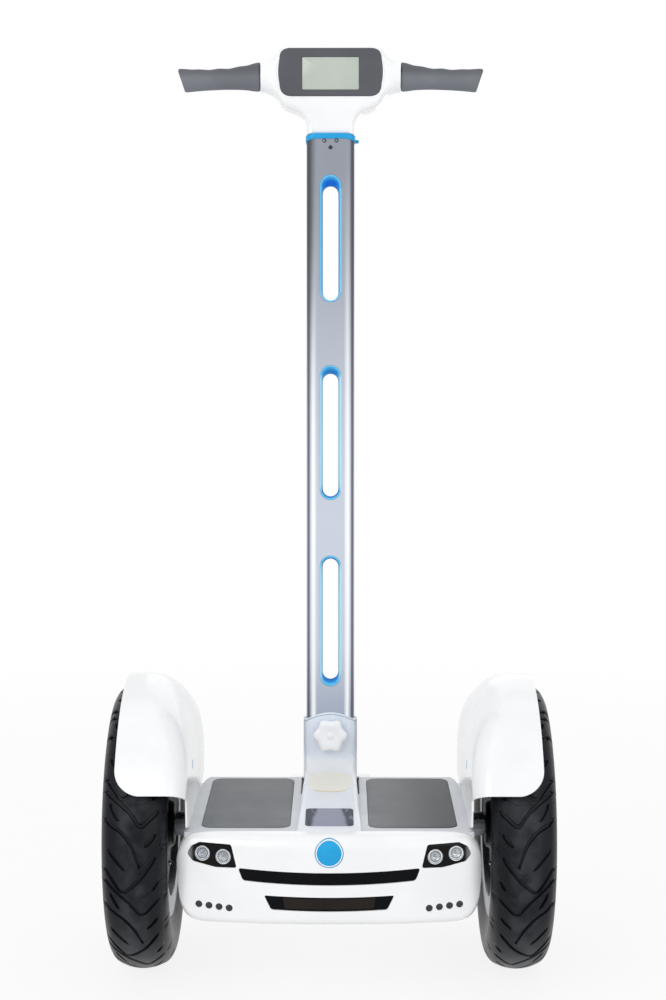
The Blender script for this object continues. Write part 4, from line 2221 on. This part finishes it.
@dataclass
class Head(Assembly):
    """The moulded head: two shells, a display and the grips."""

    half_depth: float = 28.0
    arm_reach: float = 110.0
    bar_height: float = 1106.5
    side: tuple[Flat, ...] = (
        (37.2, 1020.2), (37.6, 1028.0), (38.8, 1037.0), (42.6, 1045.6), (51.0, 1053.2),
        (63.0, 1058.2), (71.6, 1061.8), (78.2, 1067.6), (82.6, 1074.6), (87.4, 1080.6),
        (96.0, 1085.4), (110.0, 1088.6), (152.0, 1088.8),
    )
    crown: tuple[Flat, ...] = (
        (152.0, 1135.8), (110.0, 1135.8), (97.0, 1138.2), (87.6, 1143.0), (81.4, 1150.6),
        (71.5, 1155.4), (52.0, 1156.0), (30.0, 1156.0),
    )
    arm_rise: float = 5.7
    bore: float = 11.3
    grip_span: Flat = (111.5, 236.5)
    grip_slant: float = 5.0
    grip_radii: tuple[Flat, ...] = (
        (0.0, 22.8), (0.06, 22.2), (0.2, 19.0), (0.4, 17.0), (0.6, 16.5), (0.8, 17.0),
        (0.95, 18.2), (1.0, 18.6),
    )
    grip_root: tuple[Flat, ...] = ((0.0, 1.6), (0.004, 0.7), (0.012, 0.2), (0.025, 0.0))
    grip_end: tuple[Flat, ...] = (
        (0.972, 0.0), (0.984, 0.4), (0.993, 1.2), (0.998, 2.4), (1.0, 4.2),
    )

    def outline(self) -> Outline:
        """The head's outline seen by the rider, with arms that run past their ends."""
        right = smooth_path(self.side, 6) + smooth_path(self.crown, 6)
        return right + [(-x, s) for x, s in reversed(right)]

    def round_at(self, x: float, s: float) -> float:
        """The radius of the head's edge at a place on its outline."""
        neck = 1 - eased(1030.0, 1062.0, s)
        return mix(mix(10.5, 9.0, neck), 21.5, eased(84.0, 106.0, abs(x)))

    def shell(self, way: int) -> Form:
        """One half of the head, from the seam to its face.

        Args:
            way: -1 for the half that the rider sees, 1 for the other.

        Returns:
            The form, shallower at the neck and with a foot that follows the collar's arch.
        """
        outline = self.outline()
        radii = [self.round_at(x, s) for x, s in outline]
        rings = [Axis.Y.ring(outline, way * 0.2)]
        for angle in (QUARTER * k / 9 for k in range(10)):
            drawn = inset(outline, [r * (1 - math.cos(angle)) for r in radii])
            rings.append([
                Vector((x, way * (self.half_depth - r + r * math.sin(angle)), s))
                for (x, s), r in zip(drawn, radii)
            ])
        form = sliced(skin(rings), [1024.0 + 3.0 * i for i in range(15)])
        for p in form.points:
            p.y *= mix(0.8, 1.0, eased(1018.0, 1066.0, p.z))
            p.z += (arch(p.x, 4.5) - 2.8) * (1 - eased(1020.0, 1040.0, p.z))
        return form

    def bezel_outline(self, gap: float) -> Outline:
        """The bezel's outline grown by a gap, with sides that bulge a little.

        Args:
            gap: How far it grows.

        Returns:
            The outline.
        """
        half, low, high = 79.9 + gap, 1076.8 - gap, 1152.3 + gap
        lower, upper, bulge = 20.0, 17.0, 4.0
        bends = (
            ((half - lower, low), (half, low), (half, low + lower)),
            ((half, low + lower), (half + bulge, (low + high) / 2), (half, high - upper)),
            ((half, high - upper), (half, high), (half - upper, high)),
        )
        right: Outline = []
        for bend in bends:
            for t in (k / 11 for k in range(12)):
                right.append(tuple(
                    a * (1 - t) ** 2 + b * 2 * t * (1 - t) + c * t * t for a, b, c in zip(*bend)
                ))
        return right + [(-x, s) for x, s in reversed(right)]

    def screen_outline(self, gap: float) -> Outline:
        """The screen's outline, grown by a gap."""
        return rectangle((-44.5 - gap, 44.5 + gap), (1087.0 - gap, 1138.0 + gap), 2.0 + gap, 6)

    def build_shells(self) -> None:
        """The rear shell with the display's pocket, and the plain front shell."""
        cuts = [
            plate(rectangle(across, (-60.0, 60.0)), (1000.0, 1200.0), Axis.Z)
            for across in ((self.arm_reach, 190.0), (-190.0, -self.arm_reach))
        ]
        cuts.append(plate(circle(self.bore, (0.0, self.bar_height), 40), (-130.0, 130.0), Axis.X))
        pocket = [
            plate(self.bezel_outline(0.35), (-40.0, -23.7), Axis.Y),
            plate(self.screen_outline(0.3), (-41.0, -20.0), Axis.Y),
            walled(self.bezel_outline(3.0), self.bezel_outline(2.4), (-40.0, -27.4), Axis.Y, 0.0),
        ]
        for way, name, more in ((-1, "rear", pocket), (1, "front", [])):
            piece = Piece(f"head_{name}_moulding", self.shell(way), COLUMN, smooth=40.0)
            piece.cut(*cuts, *more).soften(0.6, 2, 42.0)
            piece.dress(Finishes.body, "column", f"head_shell_{name}")

    def build_display(self) -> None:
        """The dark bezel and the display's glass."""
        rim = plate(self.bezel_outline(0.0), (-28.8, -24.0), Axis.Y, 1.2, 4)
        opening = plate(self.screen_outline(0.3), (-40.0, 0.0), Axis.Y)
        piece = Piece("bezel_frame", rim, COLUMN).cut(opening).soften(0.7, 3, 40.0)
        piece.dress(Finishes.bezel, "column", "display_bezel")
        glass = plate(self.screen_outline(0.0), (-27.8, -25.4), Axis.Y, 0.3)
        Piece("screen_glass", glass, COLUMN).dress(Finishes.glass, "column", "display_screen")

    def grip_ring(self, share: float, trim: float) -> list[Vector]:
        """One ring of a grip's rubber, with its part of the four finger scallops.

        Args:
            share: How far along the grip it lies, from 0 to 1.
            trim: What the round ends take from its radius.

        Returns:
            Its points.
        """
        radius = read_table(self.grip_radii, share) - trim
        fade = math.sin(math.pi * min(1.0, share / 0.9))
        wave = 1.5 * fade * (1 - math.cos(TURN * 4 * share)) / 2
        middle = self.bar_height + self.arm_rise * (1 - share) ** 1.4
        ring = []
        for across, up in circle(1.0, steps=56):
            reach = radius - wave * max(0.0, up) ** 1.5
            along = mix(*self.grip_span, share) + self.grip_slant * share * up
            ring.append(Vector((along, reach * across, middle + reach * up)))
        return ring

    def build_grip(self, side: Side) -> None:
        """A grip with four finger scallops and a slanted round end.

        Args:
            side: The side that it is on.
        """
        even = [(0.04 + 0.92 * i / 70, 0.0) for i in range(71)]
        bore = circle(self.bore, (0.0, self.bar_height), 56)
        rings = [Axis.X.ring(bore, along) for along in (226.3, self.grip_span[0])]
        rings += [self.grip_ring(*row) for row in (*self.grip_root, *even, *self.grip_end)]
        piece = Piece(f"{side.word}_grip_rubber", skin(rings), side.of(COLUMN), smooth=50.0)
        piece.dress(Finishes.grip, "column", f"grip_{side.word}")

    def build(self) -> None:
        """Builds the shells, the display and both grips."""
        self.build_shells()
        self.build_display()
        for side in Side:
            self.build_grip(side)


@dataclass(frozen=True)
class Lamp:
    """A soft studio lamp.

    Args:
        name: Its name.
        place: Where it stands, in metres.
        size: The side of its square face, in metres.
        power: Its power in watts.
    """

    name: str
    place: tuple[float, float, float]
    size: float
    power: float


@dataclass
class Studio:
    """Floor, lamps, backdrop and camera."""

    lamps: tuple[Lamp, ...] = (
        Lamp("key", (-1.9, -2.8, 2.4), 2.4, 36.0),
        Lamp("fill", (2.4, -2.8, 1.5), 2.4, 20.0),
        Lamp("top", (0.0, 0.3, 3.6), 2.8, 9.0),
        Lamp("back", (0.6, 3.0, 1.9), 2.4, 6.0),
    )
    aim: tuple[float, float, float] = (0.0, 0.0, 0.6)
    ambient: float = 0.66
    floor_reach: float = 9000.0
    camera_place: tuple[float, float, float] = (0.01549, -2.86193, 1.00574)
    camera_turn: tuple[float, float, float] = (90.0 - 6.005, 0.0, 0.218)
    lens: float = 68.69
    sensor: float = 36.0

    def build_world(self) -> None:
        """A white backdrop for the camera and for reflections, and a softer sky for light."""
        world = bpy.data.worlds.new("studio")
        bpy.context.scene.world = world
        world.use_nodes = True
        tree = Tree(world.node_tree)
        white = screen((255, 255, 255))
        sky, seen = (
            tree.node("ShaderNodeBackground", 0, {"Color": white, "Strength": strength})
            for strength in (self.ambient, 1.0)
        )
        tree.seen_white(sky, seen)

    def build_floor(self) -> None:
        """A plain pale floor that keeps a soft shadow."""
        reach = (-self.floor_reach, self.floor_reach)
        square = Form(Axis.Z.ring(rectangle(reach, reach), 0.0), [(0, 1, 2, 3)])
        floor = Piece("floor", square, Matrix.Scale(MM, 4)).thing
        material = bpy.data.materials.new("floor")
        material.use_nodes = True
        tree = Tree(material.node_tree)
        shader = tree.find("ShaderNodeBsdfPrincipled")
        pale, paler = screen((246, 246, 246)), screen((249, 249, 249))
        shade = tree.blend(tree.noise(0.8, 2.0).ramp(0.3, 0.7), pale, paler)
        tree.give(shader, {"Roughness": 0.9, "Specular IOR Level": 0.1, "Base Color": shade})
        white = tree.node("ShaderNodeEmission", 0, {"Color": screen((255, 255, 255))})
        far = tree.x * tree.x + tree.y * tree.y
        share = far.ramp(0.4, 7.0).stretch(0.86, 1.0)
        tree.seen_white(Signal(tree, shader.outputs[0]), white, share)
        floor.data.materials.append(material)

    def build_lamps(self) -> None:
        """The soft lamps, each aimed at the scooter."""
        for lamp in self.lamps:
            light = bpy.data.lights.new(lamp.name, "AREA")
            light.size = lamp.size
            light.energy = lamp.power
            holder = bpy.data.objects.new(lamp.name, light)
            bpy.context.scene.collection.objects.link(holder)
            holder.location = lamp.place
            aim = Vector(self.aim) - Vector(lamp.place)
            holder.rotation_euler = aim.to_track_quat("-Z", "Y").to_euler()

    def build_camera(self) -> None:
        """The camera at the photograph's place and angle."""
        lens = bpy.data.cameras.new("camera")
        lens.lens = self.lens
        lens.sensor_width = self.sensor
        camera = bpy.data.objects.new("camera", lens)
        bpy.context.scene.collection.objects.link(camera)
        camera.location = self.camera_place
        camera.rotation_euler = [math.radians(turn) for turn in self.camera_turn]
        bpy.context.scene.camera = camera

    def build(self) -> None:
        """Builds the whole studio."""
        self.build_world()
        self.build_floor()
        self.build_lamps()
        self.build_camera()
        bpy.context.scene.view_settings.view_transform = "Standard"


def main() -> None:
    """Builds every sub-assembly in order, then the studio."""
    logging.basicConfig(level=logging.INFO, format="%(message)s")
    groups: list[Assembly] = []
    for side in Side:
        groups += [Tyre(side), Wheel(side), Fender(side)]
    groups += [Chassis(), Fascia(), Tunnel(), Steering(), Column(), Head()]
    for group in groups:
        group.build()
        log.info("built %s", type(group).__name__)
    Studio().build()


if __name__ == "__main__":
    main()
